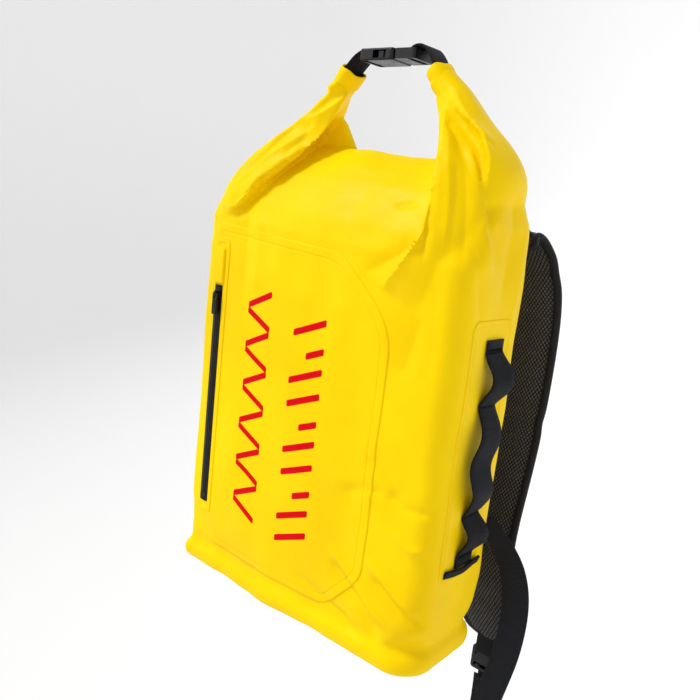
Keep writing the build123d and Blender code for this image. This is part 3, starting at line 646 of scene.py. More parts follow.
def make_zip(skin):
    low, high = cad("zip_facing")
    outline = rounded_outline([(low[0], low[2]), (low[0], high[2] + 2), (high[0] + 3, high[2] + 2), (high[0] + 1, low[2])],
                              (6, 13, 13, 6), 1.5)
    above = FRONT_LIFT
    facing = patch("zip_facing_cloth", skin, "front", outline,
                   [(0, above - 0.6), (0.3, above + 0.2), (0.9, above + 0.6), (2.2, above + 0.65), (2.7, above + 0.35),
                    (3.2, above + 0.6), (4.6, above + 0.6), (5.2, above + 0.1)], above + 0.1, 2.5)
    facing.data.materials.append(MATERIALS["tarpaulin"])
    ride(facing, "bag", "tarpaulin", "zip_facing")
    tongue_low, tongue_high = cad("zip_garage")
    outline = rounded_outline([(tongue_low[0], tongue_low[2]), (tongue_low[0], tongue_high[2]),
                               (tongue_high[0], tongue_high[2]), (tongue_high[0], tongue_low[2])], (2, 5, 5, 2), 1.2)
    tongue = patch("zip_garage_cloth", skin, "front", outline,
                   [(0, above), (0.3, above + 1.0), (1.0, above + 1.9), (2.0, above + 2.2)], above + 2.3, 2.0)
    tongue.data.materials.append(MATERIALS["tarpaulin"])
    ride(tongue, "bag", "tarpaulin", "zip_garage")
    make_tape(skin)


def make_tape(skin):
    """The coated tapes of a water-resistant zip meet edge to edge over the chain."""
    low, high = cad("zip_tape")
    half = (high[0] - low[0]) / 2
    rows = 90
    section = [(-half, 0.2), (-half + 0.2, 0.75), (-half + 1.2, 0.85), (-2.6, 0.9), (-2.1, 1.35), (-0.5, 1.45), (-0.18, 1.15),
               (0, 0.7), (0.18, 1.15), (0.5, 1.45), (2.1, 1.35), (2.6, 0.9), (half - 1.2, 0.85), (half - 0.2, 0.75),
               (half, 0.2)]
    vertices, marks = [], []
    for row in range(rows + 1):
        z = high[2] + (low[2] - high[2]) * row / rows
        for u, height in section:
            vertices.append(skin.place("front", ZIP_X + u, z, height + FRONT_LIFT - 0.1))
            marks.append((u / 100, (high[2] - z) / 100))
    tape = make_object("zip_coated_tape", vertices, ring_faces(rows + 1, len(section), closed_around=False, caps=False))
    set_marks(tape, marks)
    face_outwards(tape, (0, 1, 0))
    tape.data.materials.append(MATERIALS["zip_tape"])
    ride(tape, "bag", "zip_tape", "zip_tape", "zip_chain")


def slanted_bar(centre, length, width, lean):
    """A bar across a column of marks, drawn as a leaning rectangle."""
    x, z = centre
    return [(x - width / 2, z - length / 2 - lean / 2), (x - width / 2, z + length / 2 - lean / 2),
            (x + width / 2, z + length / 2 + lean / 2), (x + width / 2, z - length / 2 + lean / 2)]


def make_marks(skin):
    """Two columns of plain red bars printed on the pocket: a zigzag and a slanted row."""
    parts = []
    for column_x, width, high, low, steps, zigzag in ((-77.0, 31.0, -204.0, -425.0, 12, True),
                                                      (-13.0, 37.0, -216.0, -430.0, 10, False)):
        pitch = (high - low) / steps
        for step in range(steps):
            z = high - pitch * (step + 0.5)
            if zigzag:
                corners = slanted_bar((column_x, z), 6.0, width, pitch * 0.78 * (-1) ** step)
            else:
                wide = width * (0.55 if step % 3 == 1 else 1.0)
                corners = slanted_bar((column_x + (width - wide) / 2, z), 6.2, wide, 15.0 * wide / width)
            parts.append(print_mark("mark", skin, rounded_outline(corners, (1.6,) * 4, 0.9)))
    marks = join("printed_marks", parts)
    ride(marks, "bag", "tarpaulin")


def print_mark(name, skin, outline):
    piece = patch(name, skin, "front", outline, [(0, 0.72), (0.25, 0.98)], 1.0, 1.6)
    piece.data.materials.append(MATERIALS["red_print"])
    return piece


# ---- side patches and ladders -------------------------------------------------------------
def make_side_patches(skin):
    low, high = cad("side_patch_right")
    for view in ("right", "left"):
        outline = rounded_outline([(low[1], low[2]), (low[1], high[2]), (high[1], high[2]), (high[1], low[2])],
                                  (12,) * 4, 2.0)
        piece = patch("side_patch_cloth_" + view, skin, view, outline, NARROW_WELD, 0.8, 4.0)
        piece.data.materials.append(MATERIALS["tarpaulin"])
        ride(piece, "bag", "tarpaulin", "side_patch_" + view)


TACKS = (-221.0, -268.0, -360.0, -397.0)
BOWS = (11.0, 15.0, 9.0)
LADDER_END = 9.0
LADDER_Y = BODY_Y + 4.0
# sideways wander of each bow (mm) and its twist (degrees)
WANDER = ((3.0, 14), (-9.0, 10), (3.0, 12))


def ladder(name, skin):
    path, across = [], []
    base = RIGHT + 2.0
    levels = [TACKS[0] + LADDER_END, *TACKS, TACKS[-1] - LADDER_END]
    for index in range(len(levels) - 1):
        top, low = levels[index], levels[index + 1]
        is_bow = 0 < index < len(levels) - 2
        steps = 26 if is_bow else 5
        for step in range(steps):
            share = step / steps
            z = top + (low - top) * share
            lift, drift, twist = 0.0, 0.0, 0.0
            if is_bow:
                hump = math.sin(math.pi * share)
                lift = BOWS[index - 1] * hump ** 1.6
                if index == 2:
                    lift = BOWS[1] * (0.78 * hump ** 1.2 + 0.30 * math.sin(3 * math.pi * share) * hump ** 0.5)
                drift = WANDER[index - 1][0] * hump ** 2
                twist = math.radians(WANDER[index - 1][1]) * hump
            path.append((base + lift + (0.9 * (index == 2)), LADDER_Y + drift, z))
            across.append((math.sin(twist), math.cos(twist), 0))
    path.append((base, LADDER_Y, levels[-1]))
    across.append((0, 1, 0))
    band = ribbon(name, path, across, WEBBING, 1.8)
    foot_z = levels[-1] - 3.0
    line = [(base + 0.4, LADDER_Y - 28, foot_z + 2), (base + 1.2, LADDER_Y - 14, foot_z), (base + 2.4, LADDER_Y, foot_z),
            (base + 1.4, LADDER_Y + 14, foot_z + 1), (base + 0.8, LADDER_Y + 24, foot_z + 1)]
    foot = ribbon("foot", curve_points(line, 30), (0.35, 0, 1), 7.0, 2.4)
    band = join(name, [band, foot])
    band.data.materials.append(MATERIALS["webbing"])
    return band


def make_ladders(skin):
    for band, side in zip(both_sides(ladder, "ladder_webbing", skin), ("right", "left")):
        ride(band, "bag", "webbing", "daisy_chain_" + side)
    parts = [bartack("tack", (RIGHT + 3.4, LADDER_Y, z), (0, 1, 0), (0, 0, 1)) for z in TACKS]
    for part in parts:
        part.data.materials.append(MATERIALS["thread"])
    tacks = join("ladder_stitches_right", parts)
    left = tacks.copy()
    left.data = tacks.data.copy()
    left.name = "ladder_stitches_left"
    bpy.context.scene.collection.objects.link(left)
    points = coordinates(left)
    points[:, 0] = 2 * BODY_X - points[:, 0]
    set_coordinates(left, points)
    left.data.flip_normals()
    for piece, side in ((tacks, "right"), (left, "left")):
        ride(piece, "bag", "thread", "daisy_bartacks_" + side)


# ---- harness ------------------------------------------------------------------------------
PAD_SIDE_LINE = [(61, -139), (73, -130), (87, -136), (98, -164), (106, -210), (110, -280), (108, -350),
                 (99, -430), (95, -480), (98, -520)]
PAD_FRONT_LINE = [(82, -120), (92, -136), (101, -160), (105, -205), (103, -300), (99, -400), (102, -450),
                  (112, -490), (120, -520)]
PAD_HALF_WIDTH = 27.0
PAD_PINCHES = (-160, -300, -480)


def at_height(line, z, column=0):
    rows = sorted((row[-1], row[column]) for row in line)
    return float(np.interp(z, [row[0] for row in rows], [row[1] for row in rows]))


def pad_path(count=110):
    side = curve_points([(0, y, z) for y, z in PAD_SIDE_LINE], count)
    smooth = curve_points([(x, 0, z) for x, z in PAD_FRONT_LINE], 160)
    side[:, 0] = [at_height([(row[0], row[2]) for row in smooth], z) for z in side[:, 2]]
    return side


def pad_widths(path):
    """Half widths along the pad: rounded at its lower end, a little narrower where it is pinched."""
    run = np.concatenate([[0], np.cumsum(np.linalg.norm(np.diff(path, axis=0), axis=1))])
    left = run[-1] - run
    rounded = np.sqrt(np.clip(1 - (1 - np.clip(left / 20, 0, 1)) ** 2.6, 0, 1))
    widths = PAD_HALF_WIDTH * (0.35 + 0.65 * rounded)
    for z in PAD_PINCHES:
        widths -= 1.2 * np.exp(-((path[:, 2] - z) / 9) ** 2) * (path[:, 1] > 80)
    return widths


def pad_normals(path):
    along = np.gradient(path, axis=0)
    along /= np.linalg.norm(along, axis=1)[:, None]
    normal = np.cross(along, (1, 0, 0))
    normal /= np.linalg.norm(normal, axis=1)[:, None]
    return normal * np.where(normal[:, 1:2] + normal[:, 2:3] * 0.6 >= 0, 1, -1)


def shoulder_pad(name):
    """A foam pad in two faces of cloth: crowned across, pinched where it is sewn through."""
    path = pad_path()
    widths = pad_widths(path)
    normal = pad_normals(path)
    run = np.concatenate([[0], np.cumsum(np.linalg.norm(np.diff(path, axis=0), axis=1))])
    columns = 14
    vertices, marks = [], []
    for index in range(len(path)):
        pinch = sum(0.42 * math.exp(-((path[index][2] - z) / 8) ** 2) for z in PAD_PINCHES) if path[index][1] > 80 else 0
        swell = 1 - pinch + 0.10 * noise.noise(Vector((0, 0, path[index][2] / 34)))
        for side in (1, -1):
            for step in range(columns + 1):
                u = (-1 + 2 * step / columns) * side
                crown = 1.3 + 3.6 * (1 - abs(u) ** 2.6) * swell
                vertices.append(path[index] + np.array((widths[index] * u, 0, 0)) + normal[index] * crown * side)
                marks.append((u * widths[index] / 100, run[index] / 100))
    size = 2 * (columns + 1)
    pad = make_object(name, vertices, ring_faces(len(path), size))
    set_marks(pad, marks)
    fix_normals(pad)
    pad.data.materials.append(MATERIALS["spacer_mesh"])
    pad.data.materials.append(MATERIALS["pad_cloth"])
    for polygon in pad.data.polygons:
        polygon.material_index = 0 if polygon.index % size >= columns + 1 else 1
    return pad


def pad_edge(path, widths, normal, inset):
    """Points down one edge of the pad, round its end and up the other edge."""
    right = [path[i] + np.array((widths[i] - inset, 0, 0)) for i in range(len(path))]
    left = [path[i] - np.array((widths[i] - inset, 0, 0)) for i in range(len(path))]
    foot = path[-1] + (path[-1] - path[-2]) * 0.6
    return np.array(right + [foot] + left[::-1])


def pad_binding(name):
    path = pad_path()
    widths = pad_widths(path)
    normal = pad_normals(path)
    line = curve_points(pad_edge(path, widths, normal, 0.2), 240)
    guide = np.cross(np.gradient(line, axis=0), (0, 1, 0.0))
    band = tube(name, line, 4.0, sides=10, flat=0.78, across=guide)
    band.data.materials.append(MATERIALS["binding"])
    return band


def pad_stitches(name):
    """Two rows of stitches that hold the binding, on both faces."""
    path = pad_path()
    widths = pad_widths(path)
    normal = pad_normals(path)
    vertices, faces = [], []
    for face in (1, -1):
        for edge in (1, -1):
            line = [path[i] + np.array((edge * (widths[i] - 3.4), 0, 0)) + normal[i] * face * 3.15
                    for i in range(4, len(path) - 6)]
            line = curve_points(line, 260)
            for index in range(0, len(line) - 2, 2):
                a, b = line[index], line[index + 1]
                stitch_prism(vertices, faces, a, b, 0.34)
    threads = make_object(name, vertices, faces)
    threads.data.materials.append(MATERIALS["thread"])
    return threads


def stitch_prism(vertices, faces, a, b, radius):
    """Add one stitch: a short thread with pinched ends."""
    along = (b - a) / np.linalg.norm(b - a)
    first = np.cross(along, (0.2, 0.9, 0.3))
    first /= np.linalg.norm(first)
    second = np.cross(along, first)
    start = len(vertices)
    for share, scale in ((0, 0.4), (0.2, 1), (0.8, 1), (1, 0.4)):
        for step in range(5):
            turn = 2 * math.pi * step / 5
            vertices.append(a + (b - a) * share + (first * math.cos(turn) + second * math.sin(turn)) * radius * scale)
    for ring in range(3):
        for step in range(5):
            corner = start + ring * 5 + step
            beside = start + ring * 5 + (step + 1) % 5
            faces.append((corner, beside, beside + 5, corner + 5))
    faces.append(tuple(reversed(range(start, start + 5))))
    faces.append(tuple(range(start + 15, start + 20)))


def pad_webbing(name):
    path = pad_path()
    normal = pad_normals(path)
    keep = [i for i in range(len(path)) if path[i][1] >= 63 or i > 20]
    keep = [i for i in keep if path[i][2] > -506]
    line = []
    for i in keep:
        pinch = sum(0.42 * math.exp(-((path[i][2] - z) / 8) ** 2) for z in PAD_PINCHES) if path[i][1] > 80 else 0
        line.append(path[i] + normal[i] * (5.9 - 1.4 * pinch))
    band = ribbon(name, curve_points(line, 140), (1, 0, 0), WEBBING, 1.7)
    band.data.materials.append(MATERIALS["webbing"])
    return band


def pad_tacks(name):
    path = pad_path()
    normal = pad_normals(path)
    parts = []
    for z in PAD_PINCHES:
        index = max(range(30, len(path)), key=lambda i: -abs(path[i][2] - z))
        down = path[index + 1] - path[index - 1]
        down /= np.linalg.norm(down)
        for shift in (-2.4, 2.4):
            parts.append(bartack("tack", path[index] + normal[index] * 6.4 + down * shift, (1, 0, 0), down, 21, 3.0))
    for part in parts:
        part.data.materials.append(MATERIALS["thread"])
    return join(name, parts)


def make_pads():
    for make, name, slot, node in ((shoulder_pad, "pad_body", "spacer_mesh", "shoulder_pad_"),
                                   (pad_binding, "pad_edge_tape", "binding", "pad_binding_"),
                                   (pad_webbing, "pad_band", "webbing", "pad_webbing_"),
                                   (pad_tacks, "pad_band_stitches", "thread", "pad_bartacks_"),
                                   (pad_stitches, "pad_edge_stitches", "thread", None)):
        for piece, side in zip(both_sides(make, name), ("right", "left")):
            ride(piece, "strap_" + side, slot, *([node + side] if node else []))


ADJUSTER_LINES = {
    "right": [(117, 53, -384), (130, 61, -402), (144, 70, -430), (150, 76, -466), (147, 80, -515), (136, 82, -570),
              (127, 84, -612), (122, 90, -632), (121, 98, -625), (121, 102, -600), (121, 100, -567)],
    "left": [(118, 53, -384), (127, 62, -408), (135, 71, -446), (137, 76, -490), (130, 79, -545), (123, 82, -570),
             (121, 88, -581), (121, 95, -576), (121, 99, -564)]}
LOCK_X = 121.0
TAIL_SIDE_LINES = {
    "right": [(106, -543), (109, -561), (112, -590), (113, -626), (111, -660)],
    "left": [(106, -543), (109, -553), (111, -564), (112, -575), (111, -585)]}


def hanging_band(name, points, side, twist):
    line = curve_points(points, 110)
    shares = np.linspace(0, 1, len(line))
    turn = np.radians(twist) * np.sin(np.pi * shares) ** 1.5
    across = np.column_stack([np.cos(turn), np.sin(turn), np.zeros(len(line))])
    if side == "left":
        line[:, 0] = 2 * BODY_X - line[:, 0]
        across[:, 1] *= -1
    band = ribbon(name, line, across, WEBBING, 1.7)
    band.data.materials.append(MATERIALS["webbing"])
    return band


def make_adjusters():
    for side in ("right", "left"):
        lower = hanging_band("adjuster_band_" + side, ADJUSTER_LINES[side], side, 24)
        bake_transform(lower)
        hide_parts("adjuster_webbing_" + side)
        tail = hanging_band("band_tail_" + side, [(LOCK_X, y, z) for y, z in TAIL_SIDE_LINES[side]], side, 16)
        ride(tail, "lock_" + side, "webbing", "webbing_tail_" + side)


def make_lock_loops():
    low, high = cad("ladder_lock_right")
    centre_y, bar_z = 99.0, -537.5
    radius = 4.5
    path = [(0, centre_y - radius, bar_z + 24), (0, centre_y - radius, bar_z + 12)]
    path += [(0, centre_y - radius * math.cos(t), bar_z - radius * math.sin(t)) for t in np.linspace(0, math.pi, 13)]
    path += [(0, centre_y + radius, bar_z + 12), (0, centre_y + radius, bar_z + 24)]
    for side, x in (("right", 121.0), ("left", 2 * BODY_X - 121.0)):
        line = curve_points([(x, y, z) for _, y, z in path], 70)
        band = ribbon("lock_loop_band_" + side, line, (1, 0, 0), WEBBING, 1.7)
        band.data.materials.append(MATERIALS["webbing"])
        ride(band, "strap_" + side, "webbing", "lock_loop_" + side)


def make_back(skin):
    """Yoke, strap tabs, the padded back panel with its channels, and the lower anchor patches."""
    low, high = cad("yoke_patch")
    outline = rounded_outline([(low[0], low[2]), (low[0], high[2]), (high[0], high[2]), (high[0], low[2])], (14,) * 4, 2.2)
    yoke = patch("yoke_cloth", skin, "back", outline, WELD, 0.8, 4.0)
    yoke.data.materials.append(MATERIALS["tarpaulin"])
    ride(yoke, "bag", "tarpaulin", "yoke_patch")
    for side in ("right", "left"):
        low, high = cad("strap_anchor_" + side)
        outline = rounded_outline([(low[0], low[2]), (low[0], high[2]), (high[0], high[2]), (high[0], low[2])], (5,) * 4, 1.6)
        tab = patch("strap_tab_" + side, skin, "back", outline, [(0, 0.8), (0.3, 1.7), (1.0, 2.4), (3.0, 2.5), (3.5, 2.1),
                                                                 (4.0, 2.5)], 2.5, 3.0)
        tab.data.materials.append(MATERIALS["tarpaulin"])
        ride(tab, "bag", "tarpaulin", "strap_anchor_" + side)
        low, high = cad("anchor_patch_" + side)
        outline = rounded_outline([(low[0], low[2]), (low[0], high[2]), (high[0], high[2]), (high[0], low[2])], (6,) * 4, 1.6)
        anchor = patch("anchor_cloth_" + side, skin, "back", outline, NARROW_WELD, 0.8, 3.0)
        anchor.data.materials.append(MATERIALS["tarpaulin"])
        ride(anchor, "bag", "tarpaulin", "anchor_patch_" + side)
    make_back_pad()


def make_back_pad():
    low, high = cad("back_pad")
    columns, rows = 72, 92
    vertices, marks = [], []
    middle_x, middle_z = (low[0] + high[0]) / 2, (low[2] + high[2]) / 2
    half_x, half_z = (high[0] - low[0]) / 2 - 3, (high[2] - low[2]) / 2 - 3
    for row in range(rows + 1):
        for column in range(columns + 1):
            u, v = -1 + 2 * column / columns, -1 + 2 * row / rows
            corner = max(0.0, abs(u) * half_x - (half_x - 18)), max(0.0, abs(v) * half_z - (half_z - 18))
            reach = math.hypot(*corner)
            scale = 18 / reach if reach > 18 else 1.0
            x = math.copysign(min(abs(u) * half_x, half_x - 18) + corner[0] * scale, u)
            z = math.copysign(min(abs(v) * half_z, half_z - 18) + corner[1] * scale, v)
            rim = min(half_x - abs(x), half_z - abs(z)) if reach <= 0.01 else 18 - min(reach, 18)
            rim = max(0.0, min(rim, half_x - abs(x), half_z - abs(z)))
            rise = 7.4 * float(smoothstep(0, 16, rim)) ** 0.6
            channel = abs(x) < 7
            groove = math.exp(-((abs(x) - 11) / 3.2) ** 2) + sum(
                math.exp(-((z - level) / 3.2) ** 2) * float(smoothstep(9, 14, abs(x))) for level in (-46, 0, 46))
            rise -= min(groove, 1.0) * 3.6 * float(smoothstep(2, 12, rim))
            rise -= 1.2 if channel else 0.0
            vertices.append((middle_x + x, BACK + 0.3 + max(rise, 0.3), middle_z + z))
            marks.append((x / 100, z / 100))
    pad = make_object("back_pad_cloth", vertices, ring_faces(rows + 1, columns + 1, closed_around=False, caps=False))
    set_marks(pad, marks)
    face_outwards(pad, (0, -1, 0))
    apply_modifier(pad, "SOLIDIFY", thickness=1.0 * MM, offset=-1)
    pad.data.materials.append(MATERIALS["spacer_mesh"])
    ride(pad, "bag", "spacer_mesh", "back_pad")
    outline = rounded_outline([(low[0] + 3, low[2] + 3), (low[0] + 3, high[2] - 3), (high[0] - 3, high[2] - 3),
                               (high[0] - 3, low[2] + 3)], (18,) * 4, 3.0)
    rim = tube("back_pad_binding", [(x, BACK + 1.8, z) for x, z in outline], 3.4, sides=10, closed=True, flat=0.7,
               across=(0, 1, 0))
    rim.data.materials.append(MATERIALS["binding"])
    ride(rim, "bag", "binding")


# ---- buckle webbing and the open ends of the arms -----------------------------------------
TETHER_LEFT_LINE = [(-66, -32), (-56, -16), (-46, -4), (-38, 4), (-31, 8), (-27, 8.4), (-24.2, 6), (-24, 2)]
TETHER_RIGHT_LINE = [(65, -34), (57, -20), (48, -7), (41, 4), (34, 10.6), (27, 11.3), (22.2, 8.6), (22, 3)]


def make_tethers():
    for side, line in (("left", TETHER_LEFT_LINE), ("right", TETHER_RIGHT_LINE)):
        path = curve_points([(x, 0, z) for x, z in line], 80)
        band = ribbon("tether_band_" + side, path, (0, 1, 0), WEBBING, 1.8)
        band.data.materials.append(MATERIALS["webbing"])
        if side == "left":
            ride(band, "bag", "webbing", "tether_left")
        else:
            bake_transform(band)
            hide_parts("tether_right")


def collar(name, stations, across, deep):
    """The open end of an arm: a doubled edge of cloth round a hollow, whose inner wall and end cap are painted
    near-black as painted shade.
    """
    end, back = np.array(stations[0], float), np.array(stations[1], float)
    along = (end - back) / np.linalg.norm(end - back)
    side = np.array((-along[2], 0, along[0]))
    depth = np.array((0.0, 1.0, 0.0))
    rows = [(-14, 0.1), (-6, 0.7), (-1, 0.8), (0, 0.3), (0, -0.5), (-1, -1.0), (-4, -1.2), (-9, -1.5), (-14, -2)]
    size = 64
    vertices = []
    for reach, grow in rows:
        for step in range(size):
            turn = 2 * math.pi * step / size
            c, s = math.cos(turn), math.sin(turn)
            wave = 0.5 * math.sin(3 * turn + 1) + 0.3 * math.sin(5 * turn)
            lip = wave * 1.2 if reach > -2 else wave * 0.4
            vertices.append(end + along * (reach + lip) + side * (across + grow + wave * 0.5) * c
                            + depth * (deep + grow + wave * 0.5) * s)
    faces = ring_faces(len(rows), size, caps=False)
    last = (len(rows) - 1) * size
    faces.append(tuple(range(last, last + size)))
    obj = make_object(name, vertices, faces)
    fix_normals(obj)
    obj.data.materials.append(MATERIALS["tarpaulin"])
    obj.data.materials.append(MATERIALS["dark_lining"])
    # painted shade: the inner faces and the cap take the near-black material that stands for the shade in the hollow
    for polygon in obj.data.polygons:
        if polygon.index >= 5 * size:
            polygon.material_index = 1
    return obj


def make_collars():
    for name, stations in (("arm_end_left", ((-46, 0, -5), (-56, 0, -19))), ("arm_end_right", ((44, 0, -7), (55, 0, -20)))):
        piece = collar(name, stations, 9.3, 13.8)
        ride(piece, "bag", "tarpaulin")


# ---- camera, light and floor --------------------------------------------------------------
AZIMUTH, PITCH, ROLL = 38.9, 11.5, 6.3
CAMERA_PLACE = (410.5, -529.1, -113.8)
FOCAL_SHARE = 750 / 700


def make_camera():
    azimuth, pitch, roll = (math.radians(angle) for angle in (AZIMUTH, PITCH, ROLL))
    ahead = Vector((-math.sin(azimuth) * math.cos(pitch), math.cos(azimuth) * math.cos(pitch), -math.sin(pitch)))
    level = Vector((math.cos(azimuth), math.sin(azimuth), 0))
    upright = level.cross(ahead)
    right = level * math.cos(roll) + upright * math.sin(roll)
    up = upright * math.cos(roll) - level * math.sin(roll)
    data = bpy.data.cameras.new("camera")
    data.sensor_width = 36
    data.lens = 36 * FOCAL_SHARE
    camera = bpy.data.objects.new("camera", data)
    place = mm(*CAMERA_PLACE)
    camera.matrix_world = Matrix((
        (right.x, up.x, -ahead.x, place.x), (right.y, up.y, -ahead.y, place.y),
        (right.z, up.z, -ahead.z, place.z), (0, 0, 0, 1)))
    bpy.context.scene.collection.objects.link(camera)
    bpy.context.scene.camera = camera


def area_light(name, place, target, size, power, tint=(1, 1, 1)):
    data = bpy.data.lights.new(name, "AREA")
    data.shape = "RECTANGLE"
    data.size, data.size_y = size
    data.energy = power
    data.color = tint
    light = bpy.data.objects.new(name, data)
    light.location = place
    light.rotation_euler = (Vector(target) - Vector(place)).to_track_quat("-Z", "Y").to_euler()
    bpy.context.scene.collection.objects.link(light)


def make_stage():
    scene = bpy.context.scene
    world = bpy.data.worlds.new("world")
    world.use_nodes = True
    background = world.node_tree.nodes["Background"]
    background.inputs[0].default_value = (1.0, 1.0, 1.0, 1)
    background.inputs[1].default_value = 0.24
    scene.world = world
    scene.view_settings.view_transform = "Standard"
    sun = bpy.data.lights.new("key", "SUN")
    sun.energy = 2.3
    sun.angle = math.radians(16)
    key = bpy.data.objects.new("key", sun)
    key.rotation_euler = Vector((0.62, 0.62, -1.05)).to_track_quat("-Z", "Y").to_euler()
    scene.collection.objects.link(key)
    area_light("fill", (-1.0, -0.9, 0.2), (0, 0, -0.28), (0.9, 1.1), 3)
    make_backdrop()


def make_backdrop():
    """A pale floor that turns up far away, all round."""
    profile = [(0, -0.80), (2.2, -0.80), (3.0, -0.74), (3.6, -0.52), (4.0, -0.1), (4.2, 0.5), (4.3, 1.6), (4.3, 3.6)]
    rings = curve_points([(radius, 0, height) for radius, height in profile], 28)
    around = 72
    vertices = []
    for radius, _, height in rings:
        for step in range(around):
            turn = 2 * math.pi * step / around
            reach = max(radius, 0.01) / MM
            vertices.append((reach * math.cos(turn), reach * math.sin(turn), height / MM))
    faces = ring_faces(len(rings), around, caps=False) + [tuple(reversed(range(around)))]
    floor = make_object("floor", vertices, faces)
    paper = plain_material("floor", (0.60, 0.60, 0.60), 0.95)
    paper.node_tree.nodes["Principled BSDF"].inputs["Emission Color"].default_value = (1.0, 1.0, 1.0, 1)
    paper.node_tree.nodes["Principled BSDF"].inputs["Emission Strength"].default_value = 0.38
    floor.data.materials.append(paper)
    return floor


def plain_material(name, colour, roughness, specular=0.5):
    material = bpy.data.materials.new(name)
    material.use_nodes = True
    shader = material.node_tree.nodes["Principled BSDF"]
    shader.inputs["Base Color"].default_value = (*colour, 1)
    shader.inputs["Roughness"].default_value = roughness
    shader.inputs["Specular IOR Level"].default_value = specular
    return material


class Nodes:
    """A short way to write a material's nodes."""
    def __init__(self, material):
        self.tree = material.node_tree
        self.shader = self.tree.nodes["Principled BSDF"]

    def add(self, kind, **inputs):
        node = self.tree.nodes.new(kind)
        for name, value in inputs.items():
            socket = node.inputs[name.replace("_", " ")]
            if isinstance(value, bpy.types.NodeSocket):
                self.tree.links.new(value, socket)
            else:
                socket.default_value = value
        return node

    def place(self, by_length=False):
        """Object coordinates in metres, or the UV map whose unit is 100 mm."""
        return self.add("ShaderNodeTexCoord").outputs["UV" if by_length else "Object"]

    def math(self, operation, first, second=0.0):
        node = self.tree.nodes.new("ShaderNodeMath")
        node.operation = operation
        for index, value in enumerate((first, second)):
            if isinstance(value, bpy.types.NodeSocket):
                self.tree.links.new(value, node.inputs[index])
            else:
                node.inputs[index].default_value = value
        return node.outputs[0]

    def noise(self, place, scale, detail=3.0, rough=0.5):
        return self.add("ShaderNodeTexNoise", Vector=place, Scale=scale, Detail=detail, Roughness=rough).outputs["Fac"]

    def spread(self, value, low, high, new_low=0.0, new_high=1.0):
        node = self.add("ShaderNodeMapRange", Value=value, From_Min=low, From_Max=high, To_Min=new_low, To_Max=new_high)
        return node.outputs[0]

    def colour(self, share, first, second):
        node = self.tree.nodes.new("ShaderNodeMix")
        node.data_type = "RGBA"
        node.inputs[6].default_value = (*first, 1)
        node.inputs[7].default_value = (*second, 1)
        self.tree.links.new(share, node.inputs[0])
        return node.outputs[2]

    def bump(self, height, strength, distance, normal=None):
        node = self.add("ShaderNodeBump", Height=height, Strength=strength, Distance=distance)
        if normal is not None:
            self.tree.links.new(normal, node.inputs["Normal"])
        return node.outputs[0]

    def finish(self, **links):
        for name, value in links.items():
            self.tree.links.new(value, self.shader.inputs[name.replace("_", " ")])


def tarpaulin_material():
    """Coated cloth: satin, a faint scrim weave under the film, and slow changes of tone."""
    material = plain_material("tarpaulin", (0.76, 0.475, 0.0), 0.42, 0.06)
    n = Nodes(material)
    place = n.place()
    tone = n.noise(place, 9.0, 3.0)
    colour = n.colour(n.spread(tone, 0.3, 0.7), (0.88, 0.575, 0.0), (0.95, 0.66, 0.0))
    parts = n.add("ShaderNodeSeparateXYZ", Vector=place).outputs
    flat = n.math("ADD", parts[0], parts[1])
    rows = n.math("SINE", n.math("MULTIPLY", parts[2], 2 * math.pi / 0.0012))
    columns = n.math("SINE", n.math("MULTIPLY", flat, 2 * math.pi / 0.0012))
    weave = n.math("MULTIPLY", rows, columns)
    grain = n.noise(place, 900.0, 2.0)
    soft = n.noise(place, 55.0, 2.0)
    normal = n.bump(weave, 0.05, 0.0002)
    normal = n.bump(grain, 0.05, 0.0003, normal)
    normal = n.bump(soft, 0.16, 0.004, normal)
    rough = n.spread(n.noise(place, 30.0, 4.0), 0.3, 0.7, 0.36, 0.48)
    n.finish(Base_Color=colour, Normal=normal, Roughness=rough)
    return material


def webbing_material():
    """Woven nylon band: cross ribs, black with a blue cast."""
    material = plain_material("webbing", (0.012, 0.013, 0.018), 0.6, 0.14)
    n = Nodes(material)
    parts = n.add("ShaderNodeSeparateXYZ", Vector=n.place(True)).outputs
    rib = n.math("SINE", n.math("MULTIPLY", parts[1], 2 * math.pi / 0.0125))
    row = n.math("SINE", n.math("MULTIPLY", parts[0], 2 * math.pi / 0.0125))
    weave = n.math("ADD", rib, n.math("MULTIPLY", row, 0.35))
    tone = n.noise(n.place(), 160.0, 2.0)
    mixed = n.math("ADD", n.spread(weave, -1.3, 1.3, 0.0, 0.7), n.math("MULTIPLY", tone, 0.3))
    colour = n.colour(mixed, (0.0015, 0.0015, 0.002), (0.014, 0.016, 0.024))
    n.finish(Base_Color=colour, Normal=n.bump(weave, 0.7, 0.0004))
    return material


def spacer_mesh_material():
    """Spacer mesh: a net of black threads round diamond holes, the holes painted light grey as a painted highlight."""
    material = plain_material("spacer_mesh", (0.02, 0.02, 0.022), 0.7, 0.2)
    n = Nodes(material)
    parts = n.add("ShaderNodeSeparateXYZ", Vector=n.place(True)).outputs
    u = n.math("MULTIPLY", parts[0], 2 * math.pi / 0.066)
    v = n.math("MULTIPLY", parts[1], 2 * math.pi / 0.100)
    first = n.math("ABSOLUTE", n.math("SINE", n.math("ADD", u, v)))
    second = n.math("ABSOLUTE", n.math("SINE", n.math("SUBTRACT", u, v)))
    hole = n.spread(n.math("MINIMUM", first, second), 0.28, 0.62)
    fuzz = n.noise(n.place(), 700.0, 2.0)
    # painted highlight: the diamond holes are painted light grey, broken up by fuzz; the threads stay near black
    painted_highlight_share = n.math("MULTIPLY", hole, n.spread(fuzz, 0.3, 0.7, 0.55, 1.0))
    colour = n.colour(painted_highlight_share, (0.002, 0.002, 0.002), (0.115, 0.115, 0.120))
    n.finish(Base_Color=colour, Normal=n.bump(n.math("SUBTRACT", 1.0, hole), 0.8, 0.0007))
    return material


